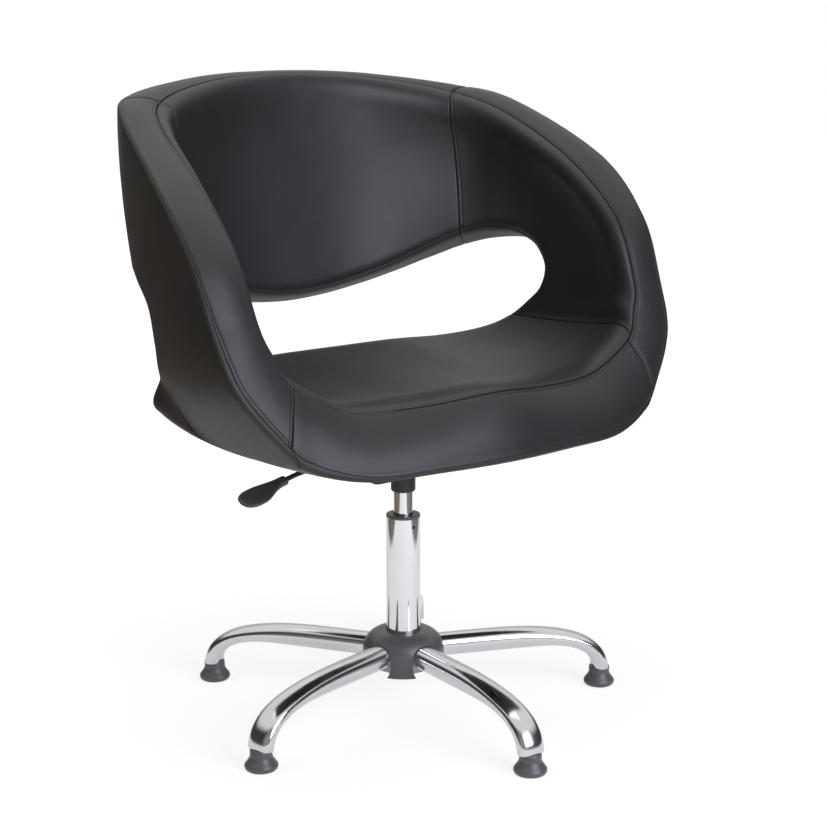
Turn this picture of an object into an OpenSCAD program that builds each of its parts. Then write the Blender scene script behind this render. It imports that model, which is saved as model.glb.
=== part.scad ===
// Threading chair: an upholstered tub shell with an open lower back, on a gas lift
// and a five-arm tube star with fixed glides.
// Frame: origin on the floor under the swivel axis, +Z up, the chair faces -Y,
// and the sitter's left arm is on +X. All lengths are millimetres.

/* [Star base] */
// Radius of the circle through the five glides
foot_circle_r = 311; // [290:1:330]
// Turn of the star about the column, in degrees
base_turn = 49.5; // [0:0.5:72]
// Width of the arm tube at the hub
arm_w = 38; // [34:1:40]
// Height of the arm tube at the hub
arm_h = 33; // [29:1:34]
// Width of the arm tube at its foot end
arm_tip_w = 41; // [38:1:43]
// Height of the arm tube at its foot end
arm_tip_h = 23; // [21:1:27]
// Wall of the arm tube
arm_wall = 2; // [1.5:0.5:2.5]
// Height of the arm's centre line at the hub
arm_hub_z = 88.5; // [87:0.5:90]
// Height of the cut end of each arm above the floor
arm_end_z = 30; // [28:1:34]

/* [Glides] */
// Widest radius of a glide
glide_r = 23.3; // [22:0.1:26]
// Radius of the neck of a glide
glide_neck_r = 15.5; // [14:0.5:16.5]
// Height of the widest part of a glide
glide_belly_z = 8.5; // [7.5:0.5:9]
// Height at which the neck of a glide starts
glide_neck_z = 22; // [21:1:25]
// Radius of the threaded stem of a glide
stem_r = 5; // [4:0.5:6]

/* [Hub] */
// Height of the underside of the hub above the floor
hub_bottom_z = 60; // [56:1:64]
// Distance from the axis to the welding flats of the hub block
hub_flat_r = 38; // [35:1:40]
// Height of the pentagonal hub block
hub_block_h = 46; // [45:1:48]
// Radius of the moulded hub cover
hub_cover_r = 60; // [56:1:66]
// Wall of the moulded hub cover
hub_cover_wall = 2.5; // [2:0.5:3]
// Height of the top of the hub cover above the floor
hub_cover_top_z = 118; // [116:1:124]

/* [Gas lift] */
// Outer radius of the column tube
column_r = 25; // [24:0.5:27]
// Wall of the column tube
column_wall = 1.5; // [1:0.5:2]
// Height of the top of the column tube above the floor
column_top_z = 290; // [270:1:300]
// Outer radius of the pressure cylinder
cylinder_r = 14; // [12:0.5:15]
// Wall of the pressure cylinder
cylinder_wall = 1.5; // [1:0.5:2]
// Radius of the piston rod
rod_r = 5; // [4:0.5:6]
// Travel of the seat above the height that is drawn
lift_up = 100; // [60:5:100]
// Travel of the seat below the height that is drawn
lift_down = 20; // [10:5:25]
// Height of the lower lip of the taper socket above the floor
socket_bottom_z = 328; // [322:1:332]
// Outer radius of the taper socket
socket_r = 17.5; // [16.5:0.5:20]

/* [Seat fitting] */
// Height of the flat underside of the shell above the floor
underside_z = 408; // [404:1:416]
// Thickness of the seat plate
plate_t = 4; // [3:0.5:5]
// Width of the seat plate from side to side
plate_w = 200; // [190:1:220]
// Depth of the seat plate from front to rear
plate_d = 164; // [156:1:180]
// Width of the pressed housing under the seat plate
housing_w = 176; // [160:1:180]
// Depth of the pressed housing under the seat plate
housing_d = 106; // [100:1:120]
// Height of the pressed housing
housing_h = 40; // [36:1:42]
// Wall of the pressed housing
housing_t = 2.5; // [2:0.5:3]
// Spacing of the seat screws from side to side
screw_gap_x = 180; // [172:1:182]
// Spacing of the seat screws from front to rear
screw_gap_y = 140; // [132:1:142]
// Radius of the shank of a seat screw
screw_r = 4; // [3:0.5:4]

/* [Height lever] */
// Reach of the lever from the swivel axis to the tip of its grip
lever_reach = 282; // [270:1:300]
// Droop of the lever rod below the level, in degrees
lever_droop = 6.5; // [4:0.5:7]
// Droop of the lever past its bend, in degrees
grip_droop = 15; // [10:1:18]
// Distance from the swivel axis to the bend of the lever
lever_bend_x = 185; // [175:1:195]
// Radius of the lever rod
lever_rod_r = 3.5; // [3:0.25:4]
// Distance from the swivel axis to the lever's pivot pin
lever_pivot_x = 50; // [44:1:56]
// Radius of the lever's pivot pin
lever_pin_r = 3; // [2.5:0.5:3.5]
// Length of the moulded lever grip
grip_l = 80; // [70:1:90]
// Width of the moulded lever grip near its tip
grip_w = 40; // [36:1:48]
// Thickness of the moulded lever grip
grip_t = 11; // [10:1:14]
// Roll of the grip about the rod, front edge down, in degrees
grip_roll = 15; // [0:5:45]

/* [Shell] */
// Half of the width over the arms
shell_half_w = 402; // [385:1:420]
// Distance from the swivel axis to the rear of the back
shell_back_y = 340; // [325:1:350]
// Height from the underside of the shell to the top of the back
shell_h = 510; // [495:1:540]
// Thickness of the leather with its quilted backing
cover_t = 4; // [3:0.5:5]
// Rounding of the inner edge of the border
roll_r = 17; // [14:1:19]
// Crown of the border between its seams
border_crown = 4; // [0:0.5:6]
// Radius of the steel hoop inside the foam
hoop_r = 8; // [6:0.5:9]
// Thickness of the plywood seat board
board_t = 12; // [10:1:14]
// Width of the plywood seat board
board_w = 240; // [230:1:260]
// Depth of the plywood seat board
board_d = 170; // [164:1:180]
// Height of the plywood seat board above the underside of the shell
board_lift = 17; // [14:1:18]

/* [Hidden] */

$fn = 96;
// One overrun for every cut
over = 1;
// Clearance between parts that slide, turn or sit in each other
fit = 0.3;
// Clearance in press fits
press = 0.05;

// Colours
chrome = "#c9cccf";
steel = "#8d9194";
black_steel = "#26282a";
plastic = "#3f4042";
leather = "#38393c";
foam_yellow = "#d9c98f";
plywood = "#b98f5d";

// Star arms: level at the hub, then bent down to the foot along a rounded curve. A running
// angle goes from 0 at the hub to 90 at the foot, and the reach follows its sine to a power.
arm_count = 5;
arm_pitch = 360 / arm_count;
arm_sides = 16;
arm_steps = 14;
arm_curve = 0.36;
arm_crowding = 1.2;
// How fast the tube flattens past the hub
arm_swage = 16;
function arm_turn(i) = base_turn + arm_pitch * (i - 1);
function arm_r(a) = hub_flat_r + (foot_circle_r - hub_flat_r) * pow(sin(a), arm_curve);
function arm_z(a) = arm_end_z + (arm_hub_z - arm_end_z) * cos(a);
function arm_width(a) = arm_tip_w + (arm_w - arm_tip_w) * pow(cos(a), arm_swage);
function arm_height(a) = arm_tip_h + (arm_h - arm_tip_h) * pow(cos(a), arm_swage);
arm_angles = [for (i = [0:arm_steps]) 90 * pow(i / arm_steps, arm_crowding)];
// Squareness of the arm's oval
oval_power = 0.85;

// Glides
belly_r = glide_belly_z;
belly_x = glide_r - belly_r;
waist_side = glide_neck_r - belly_x;
waist_h = glide_neck_z - glide_belly_z;
waist_r = (waist_side * waist_side + waist_h * waist_h - belly_r * belly_r) / (2 * (belly_r - waist_side));
flank_share = belly_r / (belly_r + waist_r);
plug_h = 6;
plug_bottom_z = arm_end_z + fit;
stem_top_z = plug_bottom_z + plug_h;

// Hub and its cover
hub_block_top_z = hub_bottom_z + hub_block_h;
dome_x = column_r + 2 * hub_cover_wall;
dome_r = hub_cover_r - dome_x;
dome_z = hub_cover_top_z - dome_r;
slot_w = arm_w * 4 / 7;
hub_neck_r = column_r + hub_cover_wall;
hub_neck_top_z = hub_cover_top_z - hub_cover_wall - fit;

// Column, its lower taper, and the screw that holds its bush
column_foot_r = column_r - column_wall / 2;
column_floor_t = 4;
column_floor_z = hub_bottom_z + column_floor_t;
column_inner_r = column_r - column_wall;
bush_h = 94;
bush_lip_h = 4;
bush_bottom_z = column_top_z - bush_h;
bush_screw_r = 2.5;
bush_screw_l = 6;
bush_screw_drop = 12;
bush_screw_z = column_top_z - bush_screw_drop;
bush_screw_turn = -91.4;

// Stack on the floor of the column
bearing_h = 5;
bearing_r = 11;
buffer_h = 12;
buffer_r = 10;
clip_h = 2;
clip_r = 9;
clip_z = hub_bottom_z - clip_h - fit;
rod_bottom_z = clip_z - clip_h;
buffer_z = column_floor_z + bearing_h + fit;
buffer_top_z = buffer_z + buffer_h;

// Pressure cylinder
cylinder_bottom_z = buffer_top_z + lift_down + fit;
cylinder_inner_r = cylinder_r - cylinder_wall;
seal_h = 14;
piston_h = 10;
piston_gap = 2;
piston_z = cylinder_bottom_z + seal_h + lift_up + piston_gap;
cylinder_top_z = underside_z - 5 * plate_t;
cone_h = 53;
cone_z = cylinder_top_z - cone_h;
cone_top_r = cylinder_inner_r;
valve_h = 42;
valve_z = cylinder_top_z - valve_h;
valve_r = cone_top_r - cylinder_wall;
pin_r = 3;
pin_l = 22;
pin_out = 6;
pin_z = cylinder_top_z + pin_out - pin_l;
socket_lip_r = 4;

// Seat plate, housing, screws, washers and nuts
plate_z = underside_z - plate_t;
housing_z = plate_z - housing_h;
housing_corner_r = 12;
plate_corner_r = 18;
screw_head_h = 5;
screw_head_r = 7;
washer_t = 1.6;
washer_r = 9;
board_z = underside_z + board_lift;
board_top_z = board_z + board_t;
board_corner_r = 25;
nut_flange_r = 10;
nut_flange_t = 1.5;
nut_r = 5.5;
screw_top_z = board_top_z;

// Lever
lever_z = cylinder_top_z + pin_out + lever_rod_r + fit;
lever_inner_x = 6;
lever_eye_wall = 2.5;
lever_eye_r = lever_pin_r + lever_eye_wall;
lever_eye_w = 12;
lever_slot_w = 14;
lever_slot_low = 11;
lever_slot_high = 8;
pin_head_lip = 2;
pin_head_r = lever_pin_r + pin_head_lip;
pin_head_h = 2;
lever_run = (lever_bend_x - lever_pivot_x) / cos(lever_droop);
lever_bend_z = lever_z - (lever_bend_x - lever_pivot_x) * tan(lever_droop);
grip_end = (lever_reach - lever_bend_x) / cos(grip_droop);
grip_cover = grip_l / 2;
grip_root_share = 0.42;
grip_tip_share = 0.7;
grip_wide_share = 0.3;
// Fall of the lever between its pivot and the wall of the housing
lever_drop = (housing_w / 2 - lever_pivot_x) * tan(lever_droop);

// Hoop clips
clip_block_w = 24;
clip_block_d = 34;
clip_block_up = 12;
clip_gap_x = 150;

// Shell sections, from the middle of the back (row 0) round the sitter's left arm to the
// middle of the seat front (last row). Each row holds six places, and each place is a share
// of the half width, of the reach to the rear and of the height over the underside:
// border inner seam, border outer edge, outer edge of the opening, inner edge of the
// opening, middle of the inner face, middle of the outer face.
section_shares = [
    [[0, 0.855, 1], [0, 0.995, 0.995], [0, 0.89, 0.311],
     [0, 0.75, 0.35], [0, 0.795, 0.67], [0, 0.955, 0.66]],
    [[0.335, 0.815, 0.985], [0.375, 0.95, 0.99], [0.375, 0.855, 0.347],
     [0.335, 0.715, 0.395], [0.335, 0.76, 0.695], [0.375, 0.915, 0.675]],
    [[0.64, 0.635, 0.94], [0.728, 0.735, 0.96], [0.725, 0.67, 0.443],
     [0.64, 0.54, 0.509], [0.65, 0.59, 0.73], [0.735, 0.715, 0.715]],
    [[0.765, 0.395, 0.878], [0.88, 0.49, 0.917], [0.855, 0.465, 0.484],
     [0.74, 0.405, 0.524], [0.76, 0.405, 0.705], [0.88, 0.48, 0.71]],
    [[0.825, 0.04, 0.75], [0.987, 0.025, 0.76], [0.93, 0.3, 0.478],
     [0.795, 0.28, 0.493], [0.815, 0.165, 0.63], [0.97, 0.17, 0.635]],
    [[0.845, -0.24, 0.59], [1, -0.235, 0.59], [0.955, 0.175, 0.42],
     [0.815, 0.215, 0.42], [0.835, -0.015, 0.505], [0.995, -0.035, 0.51]],
    [[0.835, -0.375, 0.41], [0.99, -0.36, 0.41], [0.945, 0.16, 0.335],
     [0.81, 0.24, 0.355], [0.83, -0.075, 0.38], [0.99, -0.12, 0.375]],
    [[0.8, -0.415, 0.335], [0.952, -0.46, 0.26], [0.915, 0.205, 0.27],
     [0.79, 0.295, 0.312], [0.81, -0.06, 0.315], [0.94, -0.13, 0.24]],
    [[0.755, -0.45, 0.27], [0.81, -0.55, 0.11], [0.86, 0.305, 0.21],
     [0.755, 0.37, 0.263], [0.78, -0.025, 0.27], [0.82, -0.07, 0.09]],
    [[0.66, -0.47, 0.22], [0.725, -0.59, 0.055], [0.84, 0.41, 0.135],
     [0.665, 0.44, 0.229], [0.655, -0.01, 0.205], [0.775, 0.03, 0.06]],
    [[0.51, -0.495, 0.18], [0.54, -0.665, 0.02], [0.64, 0.6, 0.09],
     [0.51, 0.515, 0.212], [0.51, 0, 0.175], [0.56, -0.03, 0.005]],
    [[0.275, -0.555, 0.18], [0.28, -0.715, 0.02], [0.325, 0.67, 0.075],
     [0.275, 0.54, 0.217], [0.275, 0, 0.175], [0.295, -0.03, -0.015]],
    [[0, -0.605, 0.195], [0, -0.74, 0.02], [0, 0.695, 0.065],
     [0, 0.55, 0.216], [0, 0, 0.18], [0, -0.03, -0.02]]
];
// Rounding of the border's outer edge and of the opening's outer and inner edges, row by
// row, as shares of the inner edge's rounding, and the border's crown as a share of its own
edge_shares = [
    [0.6, 1.2, 1.1, 1], [0.6, 1.2, 1.1, 1], [0.6, 1.2, 1.1, 1], [0.6, 1.2, 1.1, 1],
    [0.6, 1.2, 1.1, 1], [0.6, 1.3, 1.1, 1], [0.6, 1.4, 1.2, 1.1], [0.6, 1.5, 1.2, 1.3],
    [0.6, 1.4, 1.2, 2], [0.8, 1.4, 1.2, 2.5], [1, 1.8, 1.3, 3], [1, 1.8, 1.4, 3.5],
    [1, 1.8, 1.4, 3.5]
];
half_rows = len(section_shares) - 1;
loop_rows = 2 * half_rows;
row_steps = 2;
loop_rings = loop_rows * row_steps;
face_steps = 5;
band_steps = 4;
hoop_sides = 8;
edge_steps = 2;
// Rings where the covers meet: the back corners and the front corners
back_row_count = 2;
arm_row_count = 6;
back_ring = back_row_count * row_steps;
front_ring = back_ring + arm_row_count * row_steps;
// Points of a section where the covers meet
opening_seam = edge_steps;
inner_seam = opening_seam + face_steps + edge_steps;
outer_seam = inner_seam + band_steps;

// A row's places in real sizes, counted round the whole loop and mirrored past its middle
function wrap(i, n) = (i % n + n) % n;
function half_row(i) = let (k = wrap(i, loop_rows)) k <= half_rows ? k : loop_rows - k;
function row_side(i) = wrap(i, loop_rows) <= half_rows ? 1 : -1;
function row_place(i, k) = let (s = section_shares[half_row(i)][k])
    [row_side(i) * s[0] * shell_half_w, s[1] * shell_back_y, underside_z + s[2] * shell_h];
function row_edge(i, k) = edge_shares[half_row(i)][k] * roll_r;

// A smooth run through four values in turn, and places and roundings between the rows
function run_through(a, b, c, d, f) = b + (c - a) * f / 2
    + (2 * a - 5 * b + 4 * c - d) * f * f / 2 + (3 * (b - c) + d - a) * f * f * f / 2;
function loop_place(t, k) = let (i = floor(t), f = t - i) run_through(
    row_place(i - 1, k), row_place(i, k), row_place(i + 1, k), row_place(i + 2, k), f);
function loop_edge(t, k) = let (i = floor(t), f = t - i)
    row_edge(i, k) * (1 - f) + row_edge(i + 1, k) * f;

function unit(v) = v / norm(v);
function mid(a, b) = (a + b) / 2;
function step_to(a, b, d) = a + unit(b - a) * min(d, norm(b - a) / 3);
// A curve from a to b drawn towards c, and one that passes through m halfway
function drawn(a, c, b, f) = a * (1 - f) * (1 - f) + 2 * c * f * (1 - f) + b * f * f;
function bowed(a, m, b, f) = drawn(a, 2 * m - mid(a, b), b, f);
function lift_flat(p) = [p[0], p[1], max(p[2], underside_z)];

// One closed section of the shell, from the middle of the opening's edge over the inner
// face to the border and back over the outer face
function section(t) = let (
    seam = loop_place(t, 0),
    out = loop_place(t, 1),
    open_out = loop_place(t, 2),
    open_in = loop_place(t, 3),
    inner_mid = loop_place(t, 4),
    outer_mid = loop_place(t, 5),
    out_r = loop_edge(t, 0),
    open_out_r = loop_edge(t, 1),
    open_in_r = loop_edge(t, 2),
    crown = loop_edge(t, 3) * border_crown / roll_r,
    fold = seam + unit(seam - out) * roll_r,
    inner_start = step_to(open_in, inner_mid, open_in_r),
    inner_end = step_to(fold, inner_mid, roll_r),
    edge_in = step_to(open_in, open_out, open_in_r),
    edge_out = step_to(open_out, open_in, open_out_r),
    band_end = step_to(out, seam, out_r),
    outer_start = step_to(out, outer_mid, out_r),
    outer_end = step_to(open_out, outer_mid, open_out_r),
    band_mid = mid(seam, band_end) + unit(mid(seam, out) - mid(inner_mid, outer_mid)) * crown,
    points = concat(
        [mid(edge_in, edge_out), drawn(edge_in, open_in, inner_start, 1 / 2)],
        [for (j = [0:face_steps]) bowed(inner_start, inner_mid, inner_end, j / face_steps)],
        [drawn(inner_end, fold, seam, 1 / 2), seam],
        [for (j = [1:band_steps - 1]) bowed(seam, band_mid, band_end, j / band_steps)],
        [band_end, drawn(band_end, out, outer_start, 1 / 2)],
        [for (j = [0:face_steps]) bowed(outer_start, outer_mid, outer_end, j / face_steps)],
        [drawn(outer_end, open_out, edge_out, 1 / 2)]
    )
) [for (p = points) lift_flat(p)];

skin = [for (r = [0:loop_rings - 1]) section(r / row_steps)];
ring_len = len(skin[0]);
function skin_at(r, j) = skin[wrap(r, loop_rings)][wrap(j, ring_len)];
function skin_normal(r, j) = unit(cross(
    skin_at(r + 1, j) - skin_at(r - 1, j), skin_at(r, j + 1) - skin_at(r, j - 1)));
// The surface of the foam, one cover thickness inside the skin
core = [for (r = [0:loop_rings - 1]) [for (j = [0:ring_len - 1])
    skin_at(r, j) - skin_normal(r, j) * cover_t]];
function core_at(r, j) = core[wrap(r, loop_rings)][wrap(j, ring_len)];
// The line of the hoop, through the middle of every section
hoop_line = [for (r = [0:loop_rings - 1]) let (t = r / row_steps)
    mid(loop_place(t, 4), loop_place(t, 5))];
function hoop_at(r) = hoop_line[wrap(r, loop_rings)];

// A flat oval, w along X and h along Y
module flat_oval(w, h) {
    square([w - h, h], center = true);
    for (s = [-1, 1]) translate([s * (w - h) / 2, 0]) circle(h / 2);
}

// One oval ring of an arm, drawn in by a wall, at the running angle a
function arm_lean(a) = a <= 0 ? 0 : a >= 90 ? 90
    : let (b = 1 / arm_steps) atan2(arm_z(a - b) - arm_z(a + b), arm_r(a + b) - arm_r(a - b));
function oval_side(v) = sign(v) * pow(abs(v), oval_power);
function arm_ring(a, wall) = let (
    w = arm_width(a) / 2 - wall,
    h = arm_height(a) / 2 - wall,
    lean = arm_lean(a)
) [for (j = [0:arm_sides - 1]) let (
    b = 360 * j / arm_sides,
    side = w * oval_side(cos(b)),
    up = h * oval_side(sin(b))
) [arm_r(a) + up * sin(lean), side, arm_z(a) + up * cos(lean)]];

module star_arm(i) {
    n = arm_sides;
    m = len(arm_angles);
    color(chrome) rotate(arm_turn(i)) polyhedron(
        points = [for (wall = [0, arm_wall], a = arm_angles) each arm_ring(a, wall)],
        faces = concat(
            [for (r = [0:m - 2], j = [0:n - 1]) let (k = wrap(j + 1, n))
                each quad(r * n + j, r * n + k, (r + 1) * n + k, (r + 1) * n + j)],
            turned([for (r = [m:2 * m - 2], j = [0:n - 1]) let (k = wrap(j + 1, n))
                each quad(r * n + j, r * n + k, (r + 1) * n + k, (r + 1) * n + j)]),
            turned([for (j = [0:n - 1]) let (k = wrap(j + 1, n)) each quad(j, k, m * n + k, m * n + j)]),
            [for (j = [0:n - 1]) let (a = (m - 1) * n, b = (2 * m - 1) * n, k = wrap(j + 1, n))
                each quad(a + j, a + k, b + k, b + j)]
        ),
        convexity = 6
    );
}

module arm_plugs() {
    w = arm_tip_w * 2 / 3;
    h = arm_tip_h - 2 * arm_wall - 8 * fit;
    color(plastic) for (i = [1:arm_count]) rotate(arm_turn(i)) translate([foot_circle_r, 0, plug_bottom_z])
        difference() {
            linear_extrude(plug_h) rotate(90) flat_oval(w, h);
            translate([0, 0, -over]) cylinder(r = stem_r + press, h = plug_h + 2 * over);
        }
}

module glide_stems() {
    color(steel) for (i = [1:arm_count]) rotate(arm_turn(i)) translate([foot_circle_r, 0, glide_belly_z])
        cylinder(r = stem_r, h = stem_top_z - glide_belly_z);
}

// Half profile of a glide: a round belly, a hollow flank and a straight neck
module glide_profile() {
    square([glide_neck_r, arm_end_z]);
    intersection() {
        square([glide_r, arm_end_z]);
        translate([belly_x, glide_belly_z]) circle(belly_r);
    }
    difference() {
        polygon([
            [0, glide_belly_z],
            [belly_x + (waist_side + waist_r) * flank_share, glide_belly_z + waist_h * flank_share],
            [glide_neck_r, glide_neck_z],
            [0, glide_neck_z]
        ]);
        translate([glide_neck_r + waist_r, glide_neck_z]) circle(waist_r);
    }
}

module glide(i) {
    color(plastic) rotate(arm_turn(i)) translate([foot_circle_r, 0, 0]) difference() {
        rotate_extrude() glide_profile();
        translate([0, 0, glide_belly_z - press]) cylinder(r = stem_r + press, h = arm_end_z);
    }
}

module hub_block() {
    color(steel) difference() {
        union() {
            translate([0, 0, hub_bottom_z]) rotate(base_turn - arm_pitch / 2)
                cylinder(r = hub_flat_r / cos(arm_pitch / 2), h = hub_block_h, $fn = arm_count);
            translate([0, 0, hub_bottom_z]) cylinder(r = hub_neck_r, h = hub_neck_top_z - hub_bottom_z);
        }
        translate([0, 0, hub_bottom_z])
            cylinder(r1 = column_foot_r + press, r2 = column_r + press, h = hub_block_h);
        translate([0, 0, hub_block_top_z - over / 2])
            cylinder(r = column_r + press, h = hub_neck_top_z - hub_block_top_z + over);
        translate([0, 0, hub_bottom_z - over]) cylinder(r = column_foot_r, h = 2 * over);
    }
}

// Half profile of the hub cover, from the axis out, drawn in by a wall
module dome_profile(inset) {
    square([hub_cover_r - inset, dome_z - hub_bottom_z]);
    translate([0, dome_z - hub_bottom_z]) square([dome_x, dome_r - inset]);
    translate([dome_x, dome_z - hub_bottom_z]) intersection() {
        circle(dome_r - inset);
        square(dome_r);
    }
}

module hub_cover() {
    color(plastic) difference() {
        translate([0, 0, hub_bottom_z]) rotate_extrude() difference() {
            dome_profile(0);
            dome_profile(hub_cover_wall);
        }
        cylinder(r = column_r + fit, h = column_top_z);
        for (i = [1:arm_count]) rotate(arm_turn(i)) {
            translate([hub_flat_r, 0, 0]) rotate([90, 0, 90]) linear_extrude(hub_cover_r)
                polygon([for (p = arm_ring(0, -fit)) [p[1], p[2]]]);
            translate([hub_flat_r, -slot_w / 2, hub_bottom_z - over])
                cube([hub_cover_r, slot_w, arm_hub_z - hub_bottom_z]);
        }
    }
}

module column_tube() {
    color(chrome) difference() {
        union() {
            translate([0, 0, hub_bottom_z])
                cylinder(r1 = column_foot_r, r2 = column_r, h = hub_block_h);
            translate([0, 0, hub_block_top_z])
                cylinder(r = column_r, h = column_top_z - hub_block_top_z);
        }
        translate([0, 0, column_floor_z])
            cylinder(r = column_inner_r - column_wall / 2, h = hub_block_top_z - column_floor_z);
        translate([0, 0, hub_block_top_z - over])
            cylinder(r = column_inner_r, h = column_top_z - hub_block_top_z + 2 * over);
        translate([0, 0, hub_bottom_z - over]) cylinder(r = rod_r + fit, h = column_floor_t + 2 * over);
        bush_screw_at() cylinder(r = bush_screw_r + press, h = bush_screw_l + over);
    }
}

// Puts a cylinder along the radius where the screw holds the bush
module bush_screw_at() {
    rotate(bush_screw_turn) translate([column_r - bush_screw_l, 0, bush_screw_z])
        rotate([0, 90, 0]) children();
}

module column_screw() {
    color(black_steel) bush_screw_at() cylinder(r = bush_screw_r, h = bush_screw_l - press);
}

module guide_bush() {
    color(plastic) difference() {
        union() {
            translate([0, 0, bush_bottom_z]) cylinder(r = column_inner_r - press, h = bush_h);
            translate([0, 0, column_top_z]) cylinder(r = column_r, h = bush_lip_h);
        }
        translate([0, 0, bush_bottom_z - over])
            cylinder(r = cylinder_r + fit, h = bush_h + bush_lip_h + 2 * over);
        bush_screw_at() cylinder(r = bush_screw_r + press, h = bush_screw_l);
    }
}

// A flat ring, bored through
module ring(r, bore, h) {
    difference() {
        cylinder(r = r, h = h);
        translate([0, 0, -over]) cylinder(r = bore, h = h + 2 * over);
    }
}

module thrust_bearing() {
    color(steel) translate([0, 0, column_floor_z]) ring(bearing_r, rod_r + fit, bearing_h);
}

module rod_buffer() {
    color(plastic) translate([0, 0, buffer_z]) ring(buffer_r, rod_r + press, buffer_h);
}

module rod_clip() {
    color(steel) translate([0, 0, clip_z]) ring(clip_r, rod_r + press, clip_h);
}

module piston_rod() {
    color(steel) translate([0, 0, rod_bottom_z]) cylinder(r = rod_r, h = piston_z + piston_h - rod_bottom_z);
}

module piston() {
    color(steel) translate([0, 0, piston_z]) ring(cylinder_inner_r - fit, rod_r + press, piston_h);
}

module lift_cylinder() {
    color(chrome) difference() {
        union() {
            translate([0, 0, cylinder_bottom_z]) cylinder(r = cylinder_r, h = cone_z - cylinder_bottom_z);
            translate([0, 0, cone_z]) cylinder(r1 = cylinder_r, r2 = cone_top_r, h = cone_h);
        }
        translate([0, 0, cylinder_bottom_z - over])
            cylinder(r = cylinder_inner_r - press, h = valve_z - cylinder_wall - cylinder_bottom_z + over);
        translate([0, 0, valve_z]) cylinder(r = valve_r + press, h = valve_h + over);
        translate([0, 0, valve_z - 2 * cylinder_wall]) cylinder(r = pin_r + fit, h = valve_h);
    }
}

module cylinder_seal() {
    color(plastic) translate([0, 0, cylinder_bottom_z]) ring(cylinder_inner_r - 2 * press, rod_r + fit, seal_h);
}

module valve_body() {
    color(steel) translate([0, 0, valve_z]) ring(valve_r, pin_r + fit, valve_h);
}

module valve_pin() {
    color(steel) translate([0, 0, pin_z]) cylinder(r = pin_r, h = pin_l);
}

module taper_socket() {
    color(black_steel) difference() {
        translate([0, 0, socket_bottom_z]) rotate_extrude() union() {
            translate([0, socket_lip_r]) square([socket_r, cylinder_top_z - socket_bottom_z - socket_lip_r]);
            square([socket_r - socket_lip_r, cylinder_top_z - socket_bottom_z]);
            translate([socket_r - socket_lip_r, socket_lip_r]) circle(socket_lip_r);
        }
        translate([0, 0, socket_bottom_z - over]) cylinder(r = cylinder_r + press, h = cone_z - socket_bottom_z + over);
        translate([0, 0, cone_z]) cylinder(r1 = cylinder_r + press, r2 = cone_top_r + press, h = cone_h);
        translate([0, 0, cylinder_top_z - over]) cylinder(r = cone_top_r + press, h = 2 * over);
    }
}

// A flat plate with round corners
module rounded_plate(w, d, h, r) {
    linear_extrude(h) {
        square([w - 2 * r, d], center = true);
        square([w, d - 2 * r], center = true);
        for (sx = [-1, 1], sy = [-1, 1]) translate([sx * (w / 2 - r), sy * (d / 2 - r)]) circle(r);
    }
}

module at_screws() {
    for (sx = [-1, 1], sy = [-1, 1]) translate([sx * screw_gap_x / 2, sy * screw_gap_y / 2, 0]) children();
}

module lift_housing() {
    color(black_steel) difference() {
        translate([0, 0, housing_z]) rounded_plate(housing_w, housing_d, housing_h, housing_corner_r);
        translate([0, 0, housing_z + housing_t]) rounded_plate(
            housing_w - 2 * housing_t, housing_d - 2 * housing_t, housing_h, housing_corner_r - housing_t);
        translate([0, 0, housing_z - over]) cylinder(r = socket_r + press, h = housing_t + 2 * over);
        translate([-housing_w / 2 - over, -lever_slot_w / 2, lever_z - lever_drop - lever_slot_low])
            cube([housing_t + 2 * over, lever_slot_w, lever_slot_low + lever_slot_high]);
        translate([-lever_pivot_x, housing_d / 2 + over, lever_z]) rotate([90, 0, 0])
            cylinder(r = lever_pin_r + press, h = housing_d + 2 * over);
    }
}

module seat_plate() {
    color(black_steel) translate([0, 0, plate_z]) difference() {
        rounded_plate(plate_w, plate_d, plate_t, plate_corner_r);
        at_screws() translate([0, 0, -over]) cylinder(r = screw_r + fit, h = plate_t + 2 * over);
    }
}

module seat_screws() {
    color(steel) at_screws() {
        translate([0, 0, plate_z - washer_t]) cylinder(r = screw_r, h = screw_top_z - plate_z + washer_t);
        translate([0, 0, plate_z - washer_t - screw_head_h]) cylinder(r = screw_head_r, h = screw_head_h, $fn = 6);
    }
}

module screw_washers() {
    color(steel) at_screws() translate([0, 0, plate_z - washer_t]) ring(washer_r, screw_r + press, washer_t);
}

module lever_pin() {
    color(steel) translate([-lever_pivot_x, 0, lever_z]) rotate([90, 0, 0]) {
        cylinder(r = lever_pin_r, h = housing_d + 2 * pin_head_h, center = true);
        for (s = [-1, 1]) translate([0, 0, s * (housing_d + pin_head_h) / 2])
            cylinder(r = pin_head_r, h = pin_head_h, center = true);
    }
}

// Puts a shape along the lever past a point, with its length along +Z
module along_lever(x, z, droop) {
    translate([-x, 0, z]) rotate([0, -90 - droop, 0]) children();
}

module lever_rod() {
    color(black_steel) difference() {
        union() {
            translate([-lever_pivot_x, 0, lever_z]) rotate([0, 90, 0])
                cylinder(r = lever_rod_r, h = lever_pivot_x + lever_inner_x);
            along_lever(lever_pivot_x, lever_z, lever_droop) cylinder(r = lever_rod_r, h = lever_run);
            translate([-lever_bend_x, 0, lever_bend_z]) sphere(lever_rod_r + fit);
            along_lever(lever_bend_x, lever_bend_z, grip_droop)
                cylinder(r = lever_rod_r, h = grip_end - grip_cover);
            translate([-lever_pivot_x, 0, lever_z]) rotate([90, 0, 0])
                cylinder(r = lever_eye_r, h = lever_eye_w, center = true);
        }
        translate([-lever_pivot_x, 0, lever_z]) rotate([90, 0, 0])
            cylinder(r = lever_pin_r + fit, h = lever_eye_w + 2 * over, center = true);
    }
}

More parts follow.
